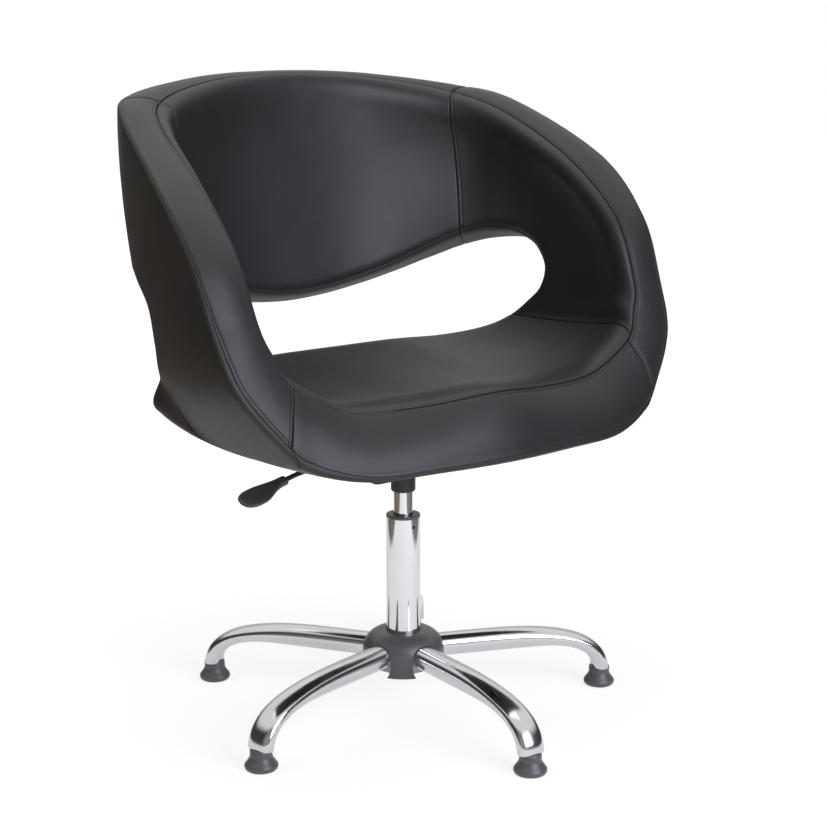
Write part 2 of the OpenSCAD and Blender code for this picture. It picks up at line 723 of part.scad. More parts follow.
// A bar across the grip with round ends
module grip_bead(w) {
    for (s = [-1, 1]) translate([0, s * (w - grip_t) / 2, 0]) sphere(grip_t / 2, $fn = 24);
}

// The grip: a paddle that widens towards its round tip
module lever_grip() {
    color(black_steel) along_lever(lever_bend_x, lever_bend_z, grip_droop) rotate(-grip_roll) difference() {
        hull() {
            translate([0, 0, grip_end - grip_l + grip_t / 2]) grip_bead(grip_w * grip_root_share);
            translate([0, 0, grip_end - grip_l * grip_wide_share]) grip_bead(grip_w);
            translate([0, 0, grip_end - grip_t / 2]) grip_bead(grip_w * grip_tip_share);
        }
        translate([0, 0, grip_end - grip_l - over])
            cylinder(r = lever_rod_r + press, h = grip_l - grip_cover + over);
    }
}

module seat_board() {
    color(plywood) translate([0, 0, board_z]) difference() {
        rounded_plate(board_w, board_d, board_t, board_corner_r);
        at_screws() translate([0, 0, -over]) cylinder(r = nut_r + press, h = board_t + 2 * over);
    }
}

module board_nuts() {
    color(steel) at_screws() difference() {
        union() {
            translate([0, 0, board_z]) cylinder(r = nut_r, h = board_t + nut_flange_t);
            translate([0, 0, board_top_z]) cylinder(r = nut_flange_r, h = nut_flange_t);
        }
        translate([0, 0, board_z - over]) cylinder(r = screw_r + press, h = board_t + nut_flange_t + 2 * over);
    }
}

// Solids made of rings of points: quads between rings, and a strip of quads at each end
function quad(a, b, c, d) = [[a, b, c], [a, c, d]];
function end_faces(n, base) = concat(
    [[base, base + 1, base + n - 1]],
    [for (j = [1:n / 2 - 2]) each quad(base + j, base + j + 1, base + n - j - 1, base + n - j)],
    [[base + n / 2 - 1, base + n / 2, base + n / 2 + 1]]
);
function turned(faces) = [for (f = faces) [f[2], f[1], f[0]]];

module closed_hoop(rings) {
    n = len(rings[0]);
    m = len(rings);
    polyhedron(
        points = [for (ring = rings) each ring],
        faces = [for (r = [0:m - 1], j = [0:n - 1])
            let (a = r * n, b = wrap(r + 1, m) * n, k = wrap(j + 1, n))
            each quad(a + j, a + k, b + k, b + j)],
        convexity = 8
    );
}

module foam_segment(r0, r1) {
    n = ring_len;
    polyhedron(
        points = [for (r = [r0:r1], j = [0:n - 1]) core_at(r, j)],
        faces = concat(
            [for (r = [0:r1 - r0 - 1], j = [0:n - 1]) let (a = r * n, k = wrap(j + 1, n))
                each quad(a + j, a + k, a + n + k, a + n + j)],
            turned(end_faces(n, 0)),
            end_faces(n, (r1 - r0) * n)
        ),
        convexity = 8
    );
}

// A leather cover between rings r0 and r1 and between points j0 and j1 of the sections
module cover(r0, r1, j0, j1) {
    w = j1 - j0 + 1;
    h = r1 - r0 + 1;
    u = w * h;
    color(leather) polyhedron(
        points = concat(
            [for (r = [r0:r1], j = [j0:j1]) skin_at(r, j)],
            [for (r = [r0:r1], j = [j0:j1]) core_at(r, j)]
        ),
        faces = concat(
            [for (r = [0:h - 2], j = [0:w - 2]) let (a = r * w + j)
                each quad(a, a + 1, a + w + 1, a + w)],
            [for (r = [0:h - 2], j = [0:w - 2]) let (a = u + r * w + j)
                each quad(a, a + w, a + w + 1, a + 1)],
            [for (r = [0:h - 2]) let (a = r * w) each quad(a, a + w, u + a + w, u + a)],
            turned([for (r = [0:h - 2]) let (a = r * w + w - 1) each quad(a, a + w, u + a + w, u + a)]),
            turned([for (j = [0:w - 2]) each quad(j, j + 1, u + j + 1, u + j)]),
            [for (j = [0:w - 2]) let (a = (h - 1) * w + j) each quad(a, a + 1, u + a + 1, u + a)]
        ),
        convexity = 8
    );
}

function hoop_ring(r) = let (
    c = hoop_at(r),
    along = unit(hoop_at(r + 1) - hoop_at(r - 1)),
    side = unit(cross(along, skin_at(r, inner_seam) - c)),
    up = cross(side, along)
) [for (j = [0:hoop_sides - 1]) let (a = 360 * j / hoop_sides)
    c + side * hoop_r * cos(a) + up * hoop_r * sin(a)];

module hoop_tube() {
    color(steel) closed_hoop([for (r = [0:loop_rings - 1]) hoop_ring(r)]);
}

// The two saddles that hold the hoop on the board
module hoop_clip_blocks() {
    top_z = hoop_at(half_rows * row_steps)[2];
    for (s = [-1, 1]) translate([
        s * clip_gap_x / 2 - clip_block_w / 2,
        hoop_at(half_rows * row_steps)[1] - clip_block_d / 2,
        board_top_z
    ]) cube([clip_block_w, clip_block_d, top_z + clip_block_up - board_top_z]);
}

module hoop_clips() {
    color(black_steel) difference() {
        hoop_clip_blocks();
        hoop_tube();
    }
}

module foam_part(r0, r1) {
    color(foam_yellow) difference() {
        foam_segment(r0, r1);
        hoop_tube();
    }
}

module foam_seat() {
    color(foam_yellow) difference() {
        foam_segment(front_ring, loop_rings - front_ring);
        hoop_tube();
        hoop_clip_blocks();
        translate([0, 0, board_z]) rounded_plate(board_w, board_d, board_t, board_corner_r);
        at_screws() {
            translate([0, 0, board_top_z - over]) cylinder(r = nut_flange_r, h = nut_flange_t + over);
            translate([0, 0, underside_z]) cylinder(r = screw_r + fit, h = board_lift + over);
        }
    }
}

module outer_underside() {
    color(leather) difference() {
        cover(front_ring, loop_rings - front_ring, outer_seam, ring_len + opening_seam);
        at_screws() translate([0, 0, underside_z - over]) cylinder(r = screw_r + fit, h = board_lift);
    }
}

star_arm(1);  // star_arm_1
star_arm(2);  // star_arm_2
star_arm(3);  // star_arm_3
star_arm(4);  // star_arm_4
star_arm(5);  // star_arm_5
glide(1);  // glide_1
glide(2);  // glide_2
glide(3);  // glide_3
glide(4);  // glide_4
glide(5);  // glide_5
arm_plugs();
glide_stems();
hub_block();
hub_cover();
column_tube();
column_screw();
guide_bush();
thrust_bearing();
piston_rod();
rod_clip();
rod_buffer();
piston();
lift_cylinder();
cylinder_seal();
valve_body();
valve_pin();
taper_socket();
lift_housing();
seat_plate();
seat_screws();
screw_washers();
lever_pin();
lever_rod();
lever_grip();
seat_board();
board_nuts();
hoop_tube();
hoop_clips();
foam_part(-back_ring, back_ring);  // foam_back
foam_part(back_ring, front_ring);  // foam_arm_left
foam_part(loop_rings - front_ring, loop_rings - back_ring);  // foam_arm_right
foam_seat();
cover(-back_ring, back_ring, opening_seam, inner_seam);  // cover_back
cover(back_ring, front_ring, opening_seam, inner_seam);  // cover_arm_left
cover(loop_rings - front_ring, loop_rings - back_ring, opening_seam, inner_seam);  // cover_arm_right
cover(front_ring, loop_rings - front_ring, opening_seam, inner_seam);  // cover_seat
cover(-back_ring, back_ring, inner_seam, outer_seam);  // border_top
cover(back_ring, front_ring, inner_seam, outer_seam);  // border_left
cover(loop_rings - front_ring, loop_rings - back_ring, inner_seam, outer_seam);  // border_right
cover(front_ring, loop_rings - front_ring, inner_seam, outer_seam);  // border_front
cover(-back_ring, back_ring, outer_seam, ring_len + opening_seam);  // outer_back
cover(back_ring, front_ring, outer_seam, ring_len + opening_seam);  // outer_side_left
cover(loop_rings - front_ring, loop_rings - back_ring, outer_seam, ring_len + opening_seam);  // outer_side_right
outer_underside();
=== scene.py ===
import math

import bmesh
import bpy
import numpy as np
from bpy.props import FloatProperty, FloatVectorProperty, IntProperty, PointerProperty
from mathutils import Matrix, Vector, noise


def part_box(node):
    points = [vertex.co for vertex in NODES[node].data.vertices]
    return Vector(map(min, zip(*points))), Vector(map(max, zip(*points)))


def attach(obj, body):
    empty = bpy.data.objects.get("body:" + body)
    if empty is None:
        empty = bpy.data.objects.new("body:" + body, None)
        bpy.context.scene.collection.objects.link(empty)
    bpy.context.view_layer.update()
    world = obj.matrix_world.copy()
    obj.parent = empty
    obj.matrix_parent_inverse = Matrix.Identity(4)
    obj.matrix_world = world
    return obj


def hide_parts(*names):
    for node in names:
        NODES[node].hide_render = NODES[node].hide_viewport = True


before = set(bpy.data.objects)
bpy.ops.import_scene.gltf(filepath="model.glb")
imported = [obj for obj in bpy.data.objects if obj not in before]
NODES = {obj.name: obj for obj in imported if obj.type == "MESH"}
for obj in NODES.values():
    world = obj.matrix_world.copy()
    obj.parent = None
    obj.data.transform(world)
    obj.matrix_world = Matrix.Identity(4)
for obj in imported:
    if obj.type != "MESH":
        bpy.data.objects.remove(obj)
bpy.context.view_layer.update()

bl_info = {
    "name": "Threading chair looks",
    "version": (1, 0, 0),
    "blender": (4, 5, 0),
    "location": "3D Viewport > Sidebar > Chair",
    "description": "Upholsters, plates and stages a threading chair around its packed frame",
    "category": "Object",
}

MM = 0.001


def extents(node):
    """Radius about the swivel axis, bottom and top of a CAD node, in millimetres."""
    low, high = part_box(node)
    return high.x / MM, low.z / MM, high.z / MM


# Shell sections, from the middle of the back (row 0) round the sitter's left arm to the middle
# of the seat front (last row). Each row holds six places as shares of the half width, of the
# reach to the rear and of the height over the underside: border inner seam, border outer edge,
# outer edge of the opening, inner edge of the opening, middle of the inner face, middle of the
# outer face.
SECTION_SHARES = np.array([
    [[0, 0.855, 1], [0, 0.995, 0.995], [0, 0.89, 0.311],
     [0, 0.75, 0.35], [0, 0.795, 0.67], [0, 0.955, 0.66]],
    [[0.335, 0.815, 0.985], [0.375, 0.95, 0.99], [0.375, 0.855, 0.347],
     [0.335, 0.715, 0.395], [0.335, 0.76, 0.695], [0.375, 0.915, 0.675]],
    [[0.64, 0.635, 0.94], [0.728, 0.735, 0.96], [0.725, 0.67, 0.443],
     [0.64, 0.54, 0.509], [0.65, 0.59, 0.73], [0.735, 0.715, 0.715]],
    [[0.765, 0.395, 0.878], [0.88, 0.49, 0.917], [0.855, 0.465, 0.484],
     [0.74, 0.405, 0.524], [0.76, 0.405, 0.705], [0.88, 0.48, 0.71]],
    [[0.825, 0.04, 0.75], [0.987, 0.025, 0.76], [0.93, 0.3, 0.478],
     [0.795, 0.28, 0.493], [0.815, 0.165, 0.63], [0.97, 0.17, 0.635]],
    [[0.845, -0.24, 0.59], [1, -0.235, 0.59], [0.955, 0.175, 0.42],
     [0.815, 0.215, 0.42], [0.835, -0.015, 0.505], [0.995, -0.035, 0.51]],
    [[0.835, -0.375, 0.41], [0.99, -0.36, 0.41], [0.945, 0.16, 0.335],
     [0.81, 0.24, 0.355], [0.83, -0.075, 0.38], [0.99, -0.12, 0.375]],
    [[0.8, -0.415, 0.335], [0.952, -0.46, 0.26], [0.915, 0.205, 0.27],
     [0.79, 0.295, 0.312], [0.81, -0.06, 0.315], [0.94, -0.13, 0.24]],
    [[0.755, -0.45, 0.27], [0.81, -0.55, 0.11], [0.86, 0.305, 0.21],
     [0.755, 0.37, 0.263], [0.78, -0.025, 0.27], [0.82, -0.07, 0.09]],
    [[0.66, -0.47, 0.22], [0.725, -0.59, 0.055], [0.84, 0.41, 0.135],
     [0.665, 0.44, 0.229], [0.655, -0.01, 0.205], [0.775, 0.03, 0.06]],
    [[0.51, -0.495, 0.18], [0.54, -0.665, 0.02], [0.64, 0.6, 0.09],
     [0.51, 0.515, 0.212], [0.51, 0, 0.175], [0.56, -0.03, 0.005]],
    [[0.275, -0.555, 0.18], [0.28, -0.715, 0.02], [0.325, 0.67, 0.075],
     [0.275, 0.54, 0.217], [0.275, 0, 0.175], [0.295, -0.03, -0.015]],
    [[0, -0.605, 0.195], [0, -0.74, 0.02], [0, 0.695, 0.065],
     [0, 0.55, 0.216], [0, 0, 0.18], [0, -0.03, -0.02]],
])
# Rounding of the border's outer edge and of the opening's outer and inner edges, as shares of
# the roll's radius, the border's crown as a share of its own, and how far the fold inside the
# inner seam stands in and runs down, as shares of the roll's radius.
EDGE_SHARES = np.array([
    [0.6, 1.2, 1.1, 1, 0.8, 1.5], [0.6, 1.2, 1.1, 1, 1.1, 1.8], [0.6, 1.2, 1.1, 1, 1.6, 2.2],
    [0.6, 1.2, 1.1, 1, 1.6, 2.4], [0.6, 1.2, 1.1, 1, 1.3, 2.6], [0.6, 1.3, 1.1, 0.9, 1.1, 2.6],
    [0.6, 1.4, 1.2, 0.8, 1, 2.6], [0.6, 1.5, 1.2, 0.8, 1, 2.2], [0.6, 1.4, 1.2, 1.1, 1, 1.8],
    [0.8, 1.4, 1.2, 1.4, 0.9, 1.8], [1, 1.8, 1.3, 1.5, 0.7, 2.4], [1, 1.8, 1.4, 1.6, 0.6, 2.6],
    [1, 1.8, 1.4, 1.6, 0.6, 2.6],
])
HALF_WIDTH = 402
BACK_REACH = 340
SHELL_HEIGHT = 510
UNDERSIDE_Z = 408
ROLL_R = 17
BORDER_CROWN = 4
SECTION_END = 22

# Panels of the upholstery: CAD node, the foam it covers, where it starts and ends round the
# loop and round the section, its leather, and which of its four edges are topstitched
# (inner or upper edge, outer or lower edge, first cross seam, last cross seam).
EDGE_SEAM, INNER_SEAM, OUTER_SEAM = 1.3, 9.0, 13.0
PANELS = (
    ("cover_back", "foam_back", -2, 2, EDGE_SEAM, INNER_SEAM, "leather", (0, 0, 0, 0)),
    ("cover_arm_left", "foam_arm_left", 2, 8, EDGE_SEAM, INNER_SEAM, "leather", (0, 0, 1, 0)),
    ("cover_arm_right", "foam_arm_right", 16, 22, EDGE_SEAM, INNER_SEAM, "leather", (0, 0, 0, 1)),
    ("cover_seat", "foam_seat", 8, 16, EDGE_SEAM, INNER_SEAM, "leather", (0, 0, 0, 0)),
    ("border_top", None, -2, 2, INNER_SEAM, OUTER_SEAM, "leather", (0, 0, 0, 0)),
    ("border_left", None, 2, 8, INNER_SEAM, OUTER_SEAM, "leather", (1, 1, 0, 1)),
    ("border_right", None, 16, 22, INNER_SEAM, OUTER_SEAM, "leather", (1, 1, 1, 0)),
    ("border_front", None, 8, 16, INNER_SEAM, OUTER_SEAM, "leather", (1, 0, 0, 0)),
    ("outer_back", None, -2, 2, OUTER_SEAM, SECTION_END + EDGE_SEAM, "outer", (0, 0, 0, 0)),
    ("outer_side_left", None, 2, 8, OUTER_SEAM, SECTION_END + EDGE_SEAM, "outer", (0, 0, 0, 0)),
    ("outer_side_right", None, 16, 22, OUTER_SEAM, SECTION_END + EDGE_SEAM, "outer", (0, 0, 0, 0)),
    ("outer_underside", None, 8, 16, OUTER_SEAM, SECTION_END + EDGE_SEAM, "outer", (0, 0, 0, 0)),
)
# Rows of the cross seams at the back's corners, counted from the middle of the back or front.
BACK_CORNERS = (2, 10)
# How far the cross seams lean from their rows, as (place round the section, rows): at the back
# corners all the way round, at the front corners on the border and under it.
BACK_LEAN = ((6, 9, 13, 18, SECTION_END + EDGE_SEAM), (0, 0.07, 0.24, 0.2, 0))
FRONT_LEAN = ((9, 11, 13, 15, 16, 18, 19.5), (0.25, 0.06, 0.04, 0.6, 0.7, 0.5, 0))
# How far the outer seam lies below its place, by rows from the middle of the front.
OUTER_DROP = ((0, 2, 3.2, 5.5, 7, 8, 9, 12), (0.7, 0.6, 0, 0, 0.5, 0.9, 1.1, 1))
# How far the inner seam lies inside its place. The right arm's was sewn further in.
INNER_RISE = ((13.5, 14.5, 16, 17, 18, 19, 20, 21), (0, 0.4, 0.4, 1, 1.2, 1, 0.5, 0))


# Shapes -------------------------------------------------------------------------------------

def unit(v):
    return v / np.maximum(np.linalg.norm(v, axis=-1, keepdims=True), 1e-12)


def mirrored_loop(half, flip):
    """A table of rows from the back's middle to the front's, run on round the other side."""
    return np.concatenate([half, half[-2:0:-1] * flip])


LOOP_PLACES = mirrored_loop(
    SECTION_SHARES * (HALF_WIDTH, BACK_REACH, SHELL_HEIGHT) + (0, 0, UNDERSIDE_Z), (-1, 1, 1))
LOOP_EDGES = mirrored_loop(EDGE_SHARES, 1)


def smooth_rows(t):
    """The six places at loop positions t, on a smooth run through the rows."""
    i = np.floor(t).astype(int)
    f = (t - i)[:, None, None]
    a, b, c, d = (LOOP_PLACES[(i + k) % len(LOOP_PLACES)] for k in (-1, 0, 1, 2))
    return (b + (c - a) * f / 2 + (2 * a - 5 * b + 4 * c - d) * f * f / 2
            + (3 * (b - c) + d - a) * f * f * f / 2)


def edge_rows(t):
    """The roundings, the crown and the fold at loop positions t."""
    i = np.floor(t).astype(int)
    f = (t - i)[:, None]
    n = len(LOOP_EDGES)
    return LOOP_EDGES[i % n] * (1 - f) + LOOP_EDGES[(i + 1) % n] * f


def step_to(a, b, distance):
    gap = np.linalg.norm(b - a, axis=-1, keepdims=True)
    return a + unit(b - a) * np.minimum(distance[:, None], gap / 3)


def shell_points(t, u):
    """Points of the shell's outside, in mm, for loop positions t and section positions u, two
    grids of one shape."""
    shape, t, w = t.shape, t.ravel(), u.ravel() % SECTION_END
    seam, out, open_out, open_in, inner_mid, outer_mid = (smooth_rows(t)[:, k] for k in range(6))
    shares = edge_rows(t)
    out_r, open_out_r, open_in_r = (shares[:, k] * ROLL_R for k in range(3))
    crown = shares[:, 3:4] * BORDER_CROWN
    fold = seam + unit(seam - out) * ROLL_R * shares[:, 4:5]
    inner_start = step_to(open_in, inner_mid, open_in_r)
    inner_end = step_to(fold, inner_mid, shares[:, 5] * ROLL_R)
    edge_in = step_to(open_in, open_out, open_in_r)
    edge_out = step_to(open_out, open_in, open_out_r)
    edge_mid = (edge_in + edge_out) / 2
    band_end = step_to(out, seam, out_r)
    outer_start = step_to(out, outer_mid, out_r)
    outer_end = step_to(open_out, outer_mid, open_out_r)
    band_mid = ((seam + band_end) / 2
                + unit((seam + out) / 2 - (inner_mid + outer_mid) / 2) * crown)

    def control(a, m, b):
        return 2 * m - (a + b) / 2

    spans = (
        (0, 0.5, edge_mid, (edge_mid + edge_in) / 2, edge_in),
        (0.5, 2, edge_in, open_in, inner_start),
        (2, 7, inner_start, control(inner_start, inner_mid, inner_end), inner_end),
        (7, 9, inner_end, fold, seam),
        (9, 13, seam, control(seam, band_mid, band_end), band_end),
        (13, 15, band_end, out, outer_start),
        (15, 20, outer_start, control(outer_start, outer_mid, outer_end), outer_end),
        (20, 21.5, outer_end, open_out, edge_out),
        (21.5, 22, edge_out, (edge_out + edge_mid) / 2, edge_mid),
    )
    points = np.zeros((len(t), 3))
    for low, high, a, c, b in spans:
        on = (w >= low) & (w < high)
        f = ((w[on] - low) / (high - low))[:, None]
        points[on] = a[on] * (1 - f) ** 2 + 2 * c[on] * f * (1 - f) + b[on] * f * f
    points[:, 2] = np.maximum(points[:, 2], UNDERSIDE_Z)
    return points.reshape(*shape, 3)


def cross_seam(row, u, inside):
    """Loop position of the cross seam at a row, for section positions u."""
    if row % 12 in BACK_CORNERS:
        lean = np.interp(u, *BACK_LEAN)
    else:
        lean = u * 0 if inside else np.interp(u, *FRONT_LEAN)
    return row + lean * (1 if 0 < row < 12 else -1)


def panel_points(panel, s, w):
    """Points of a panel, for shares s along the loop and w across it, two grids of one shape."""
    t0, t1, u0, u1 = panel
    middle = t0 + (t1 - t0) * s
    drop = np.interp(np.abs(middle % 24 - 12), *OUTER_DROP)
    rise = np.interp(middle % 24, *INNER_RISE)
    low = u0 + drop * (u0 == OUTER_SEAM) - rise * (u0 == INNER_SEAM)
    high = u1 + drop * (u1 == OUTER_SEAM) - rise * (u1 == INNER_SEAM)
    u = low + (high - low) * w
    inside = u1 == INNER_SEAM
    first, last = cross_seam(t0, u, inside), cross_seam(t1, u, inside)
    return shell_points(first + (last - first) * s, u)


# Distances from a seam at which a panel has points, in mm: close together in the tuck and at
# the topstitch, then wider.
SEAM_STEPS = np.array([0, 0.6, 1.3, 2.1, 3.0, 3.9, 4.5, 5.1, 5.7, 6.4, 7.6, 9.5, 12, 15.5, 20, 26])


def panel_spacing(length, count):
    """Distances across one strip of a panel: seam steps at both ends and even steps between."""
    scale = min(1.0, length / (2.6 * SEAM_STEPS[-1]))
    ends = SEAM_STEPS * scale
    middle = np.linspace(ends[-1], length - ends[-1], count + 2)[1:-1]
    return np.concatenate([ends, middle, length - ends[::-1]])


def run_lengths(points, axis):
    """Distance along a grid of points from its first row or column."""
    steps = np.linalg.norm(np.diff(points, axis=axis), axis=-1)
    start = np.zeros_like(np.take(steps, [0], axis=axis))
    return np.concatenate([start, np.cumsum(steps, axis=axis)], axis=axis)


def panel_grid(panel, step):
    """An even grid on the shell between a panel's four seams, in mm."""
    dense = np.linspace(0, 1, 400)
    length = run_lengths(panel_points(panel, dense, dense * 0 + 0.5)[:, None], 0)[:, 0]
    rows = np.interp(panel_spacing(length[-1], round(length[-1] / step)), length, dense)
    s, w = np.meshgrid(rows, np.linspace(0, 1, 260), indexing="ij")
    fine = panel_points(panel, s, w)
    across = run_lengths(fine, 1)
    count = round(across[:, -1].mean() / step)
    grid = []
    for strip, distance in zip(fine, across):
        at = panel_spacing(distance[-1], count)
        grid.append(np.stack([np.interp(at, distance, strip[:, k]) for k in range(3)], axis=1))
    return np.array(grid)


def grid_normals(grid):
    return unit(np.cross(np.gradient(grid, axis=0), np.gradient(grid, axis=1)))


def seam_distances(grid):
    """Distance of every point of a panel from its four edges: first and last across, then
    first and last along."""
    across = run_lengths(grid, 1)
    along = run_lengths(grid, 0)
    return across, across[:, -1:] - across, along, along[-1:] - along


def wavy(points, size, seed):
    """Smooth noise between -1 and 1 at points in mm, with waves of about the given size."""
    shift = Vector((seed * 7.3, seed * 3.1, seed * 5.7))
    flat = points.reshape(-1, 3)
    values = [noise.noise(Vector(p / size) + shift) for p in flat]
    return np.array(values).reshape(points.shape[:-1])


def mesh_object(name, points, faces):
    """A new object from points in mm. Its place is in its mesh."""
    mesh = bpy.data.meshes.new(name)
    mesh.from_pydata((np.asarray(points, float) * MM).tolist(), [], [list(f) for f in faces])
    mesh.validate()
    piece = bpy.data.objects.new(name, mesh)
    bpy.context.scene.collection.objects.link(piece)
    return piece


def grid_faces(rows, columns, base=0, turn=False, close=False, around=False):
    """Quads of a grid of points. With close, the last column meets the first, and with around,
    the last row does too. With turn, they face the other way."""
    faces = []
    for r in range(rows if around else rows - 1):
        after = (r + 1) % rows
        for c in range(columns if close else columns - 1):
            d = (c + 1) % columns
            quad = (base + r * columns + c, base + r * columns + d,
                    base + after * columns + d, base + after * columns + c)
            faces.append(quad[::-1] if turn else quad)
    return faces


def rim_faces(rows, columns):
    """Quads that join the edges of two grids of one size, the second stored after the first."""
    base = rows * columns
    loop = (list(range(columns)) + [r * columns + columns - 1 for r in range(1, rows)]
            + [(rows - 1) * columns + c for c in range(columns - 2, -1, -1)]
            + [r * columns for r in range(rows - 2, 0, -1)])
    return [(loop[i], base + loop[i], base + loop[(i + 1) % len(loop)], loop[(i + 1) % len(loop)])
            for i in range(len(loop))]


def full_turn(steps):
    """The angles of a full turn in even steps."""
    return np.linspace(0, 2 * math.pi, steps, endpoint=False)


def lathe(name, profile, centre=(0, 0), segments=96, angle=35):
    """A closed turned shape: profile is a closed run of (radius, height) in mm, which goes up
    on the outside."""
    points = [(centre[0] + r * math.cos(a), centre[1] + r * math.sin(a), z)
              for r, z in profile for a in full_turn(segments)]
    faces = grid_faces(len(profile), segments, close=True, around=True)
    return rounded(mesh_object(name, points, faces), angle)


def weld(mesh):
    """Merges the points that meet and turns all faces outwards."""
    made = bmesh.new()
    made.from_mesh(mesh)
    bmesh.ops.remove_doubles(made, verts=made.verts, dist=1e-6)
    bmesh.ops.dissolve_degenerate(made, edges=made.edges, dist=1e-7)
    bmesh.ops.recalc_face_normals(made, faces=made.faces)
    made.to_mesh(mesh)
    made.free()


def rounded(piece, angle=None):
    """Welds a piece and shades it smooth, with edges over the angle in degrees left sharp."""
    weld(piece.data)
    piece.data.shade_smooth()
    if angle is not None:
        piece.data.set_sharp_from_angle(angle=math.radians(angle))
    return piece


def arc(cx, cz, r, start, end, steps=8):
    """Points of an arc in a profile, angles in degrees from the outward direction."""
    return [(cx + r * math.cos(math.radians(a)), cz + r * math.sin(math.radians(a)))
            for a in np.linspace(start, end, steps + 1)]


def tube_along(name, path, radius, segments=32):
    """A round bar along points in mm, closed at both ends with a small chamfer."""
    path = np.array(path, float)
    along = unit(np.gradient(path, axis=0))
    side = np.array([0.0, 1.0, 0.0])
    up = unit(np.cross(along, side))
    turns = full_turn(segments)
    ring = np.cos(turns)[None, :, None] * side + np.sin(turns)[None, :, None] * up[:, None]
    chamfer = radius * 0.25
    rings = [path[:1, None] + ring[:1] * 0, path[:1, None] + ring[:1] * (radius - chamfer),
             path[:1, None] + along[:1, None] * chamfer + ring[:1] * radius,
             path[1:-1, None] + ring[1:-1] * radius,
             path[-1:, None] - along[-1:, None] * chamfer + ring[-1:] * radius,
             path[-1:, None] + ring[-1:] * (radius - chamfer), path[-1:, None] + ring[-1:] * 0]
    grid = np.concatenate(rings)
    faces = grid_faces(len(grid), segments, close=True)
    return rounded(mesh_object(name, grid.reshape(-1, 3), faces), 40)


def settle(piece, body, finish, *nodes):
    """Gives a piece its finish and its body, and hides the CAD nodes that it stands for."""
    piece.data.materials.clear()
    piece.data.materials.append(finish_of(finish))
    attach(piece, body)
    if nodes:
        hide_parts(*nodes)
    return piece


# Materials ----------------------------------------------------------------------------------

def linear(hex_colour):
    """An sRGB hex colour as linear red, green, blue and alpha."""
    parts = [int(hex_colour[i:i + 2], 16) / 255 for i in (1, 3, 5)]
    return (*[c / 12.92 if c <= 0.04045 else ((c + 0.055) / 1.055) ** 2.4 for c in parts], 1.0)


def give(tree, node, inputs):
    """Fills a node's sockets: inputs maps a socket to a value or a link."""
    for key, value in inputs.items():
        socket = node.inputs[key]
        if isinstance(value, bpy.types.NodeSocket):
            tree.links.new(value, socket)
        else:
            socket.default_value = value


def add(tree, kind, inputs=None, stops=(), **settings):
    """Adds a node with its properties as settings and its sockets as inputs. A colour ramp also
    gets its stops, as (position, linear colour)."""
    node = tree.nodes.new(kind)
    for key, value in settings.items():
        setattr(node, key, value)
    give(tree, node, inputs or {})
    for _ in stops[2:]:
        node.color_ramp.elements.new(0.5)
    for k, (position, colour) in enumerate(stops):
        node.color_ramp.elements[k].position = position
        node.color_ramp.elements[k].color = colour
    return node


def new_material(name):
    """An empty node material with its shader and its object coordinates."""
    material = bpy.data.materials.new(name)
    material.use_nodes = True
    tree = material.node_tree
    tree.nodes.clear()
    output = add(tree, "ShaderNodeOutputMaterial")
    shader = add(tree, "ShaderNodeBsdfPrincipled")
    tree.links.new(shader.outputs["BSDF"], output.inputs["Surface"])
    place = add(tree, "ShaderNodeTexCoord").outputs["Object"]
    return material, tree, shader, place


def shade(colour, factor):
    return (*[min(1.0, c * factor) for c in colour[:3]], 1.0)


def leather_material(name, colour, roughness, warm):
    """Corrected-grain upholstery leather, pigmented black and pressed: it has a low, even
    gloss, a pebble grain of about 1.5 mm with finer pores in it, and cloudy changes of tone
    where the hide was stretched. The grain is drawn about twice as coarse as the real one, so
    that it still shows."""
    material, tree, shader, place = new_material(name)
    cloud = add(tree, "ShaderNodeTexNoise", {
        "Vector": place, "Scale": 9.0, "Detail": 4.0, "Roughness": 0.6}).outputs["Fac"]
    tone = add(tree, "ShaderNodeValToRGB", {"Fac": cloud}, [
        (0.25, shade(colour, 0.78)), (0.5, colour),
        (0.78, shade([a + b for a, b in zip(colour, warm)], 1.12))])
    pebble = add(tree, "ShaderNodeTexVoronoi", {
        "Vector": place, "Scale": 520.0, "Randomness": 1.0},
        feature="SMOOTH_F1").outputs["Distance"]
    pores = add(tree, "ShaderNodeTexNoise", {
        "Vector": place, "Scale": 1400.0, "Detail": 2.0}).outputs["Fac"]
    creases = add(tree, "ShaderNodeTexNoise", {
        "Vector": place, "Scale": 70.0, "Detail": 6.0, "Roughness": 0.7,
        "Distortion": 0.6}).outputs["Fac"]
    sum_fine = add(tree, "ShaderNodeMath", {0: pebble, 1: 0.8, 2: pores}, operation="MULTIPLY_ADD")
    sum_all = add(tree, "ShaderNodeMath", {0: creases, 1: 1.4, 2: sum_fine.outputs[0]},
                  operation="MULTIPLY_ADD")
    gloss = add(tree, "ShaderNodeMapRange", {
        "Value": sum_all.outputs[0], "From Min": 0.6, "From Max": 1.9,
        "To Min": roughness + 0.06, "To Max": roughness - 0.05})
    bump = add(tree, "ShaderNodeBump", {
        "Height": sum_all.outputs[0], "Strength": 0.22, "Distance": 0.0003})
    give(tree, shader, {
        "Base Color": tone.outputs["Color"], "Roughness": gloss.outputs["Result"],
        "Normal": bump.outputs["Normal"], "IOR": 1.45,
        "Sheen Weight": 0.03, "Sheen Roughness": 0.4})
    return material


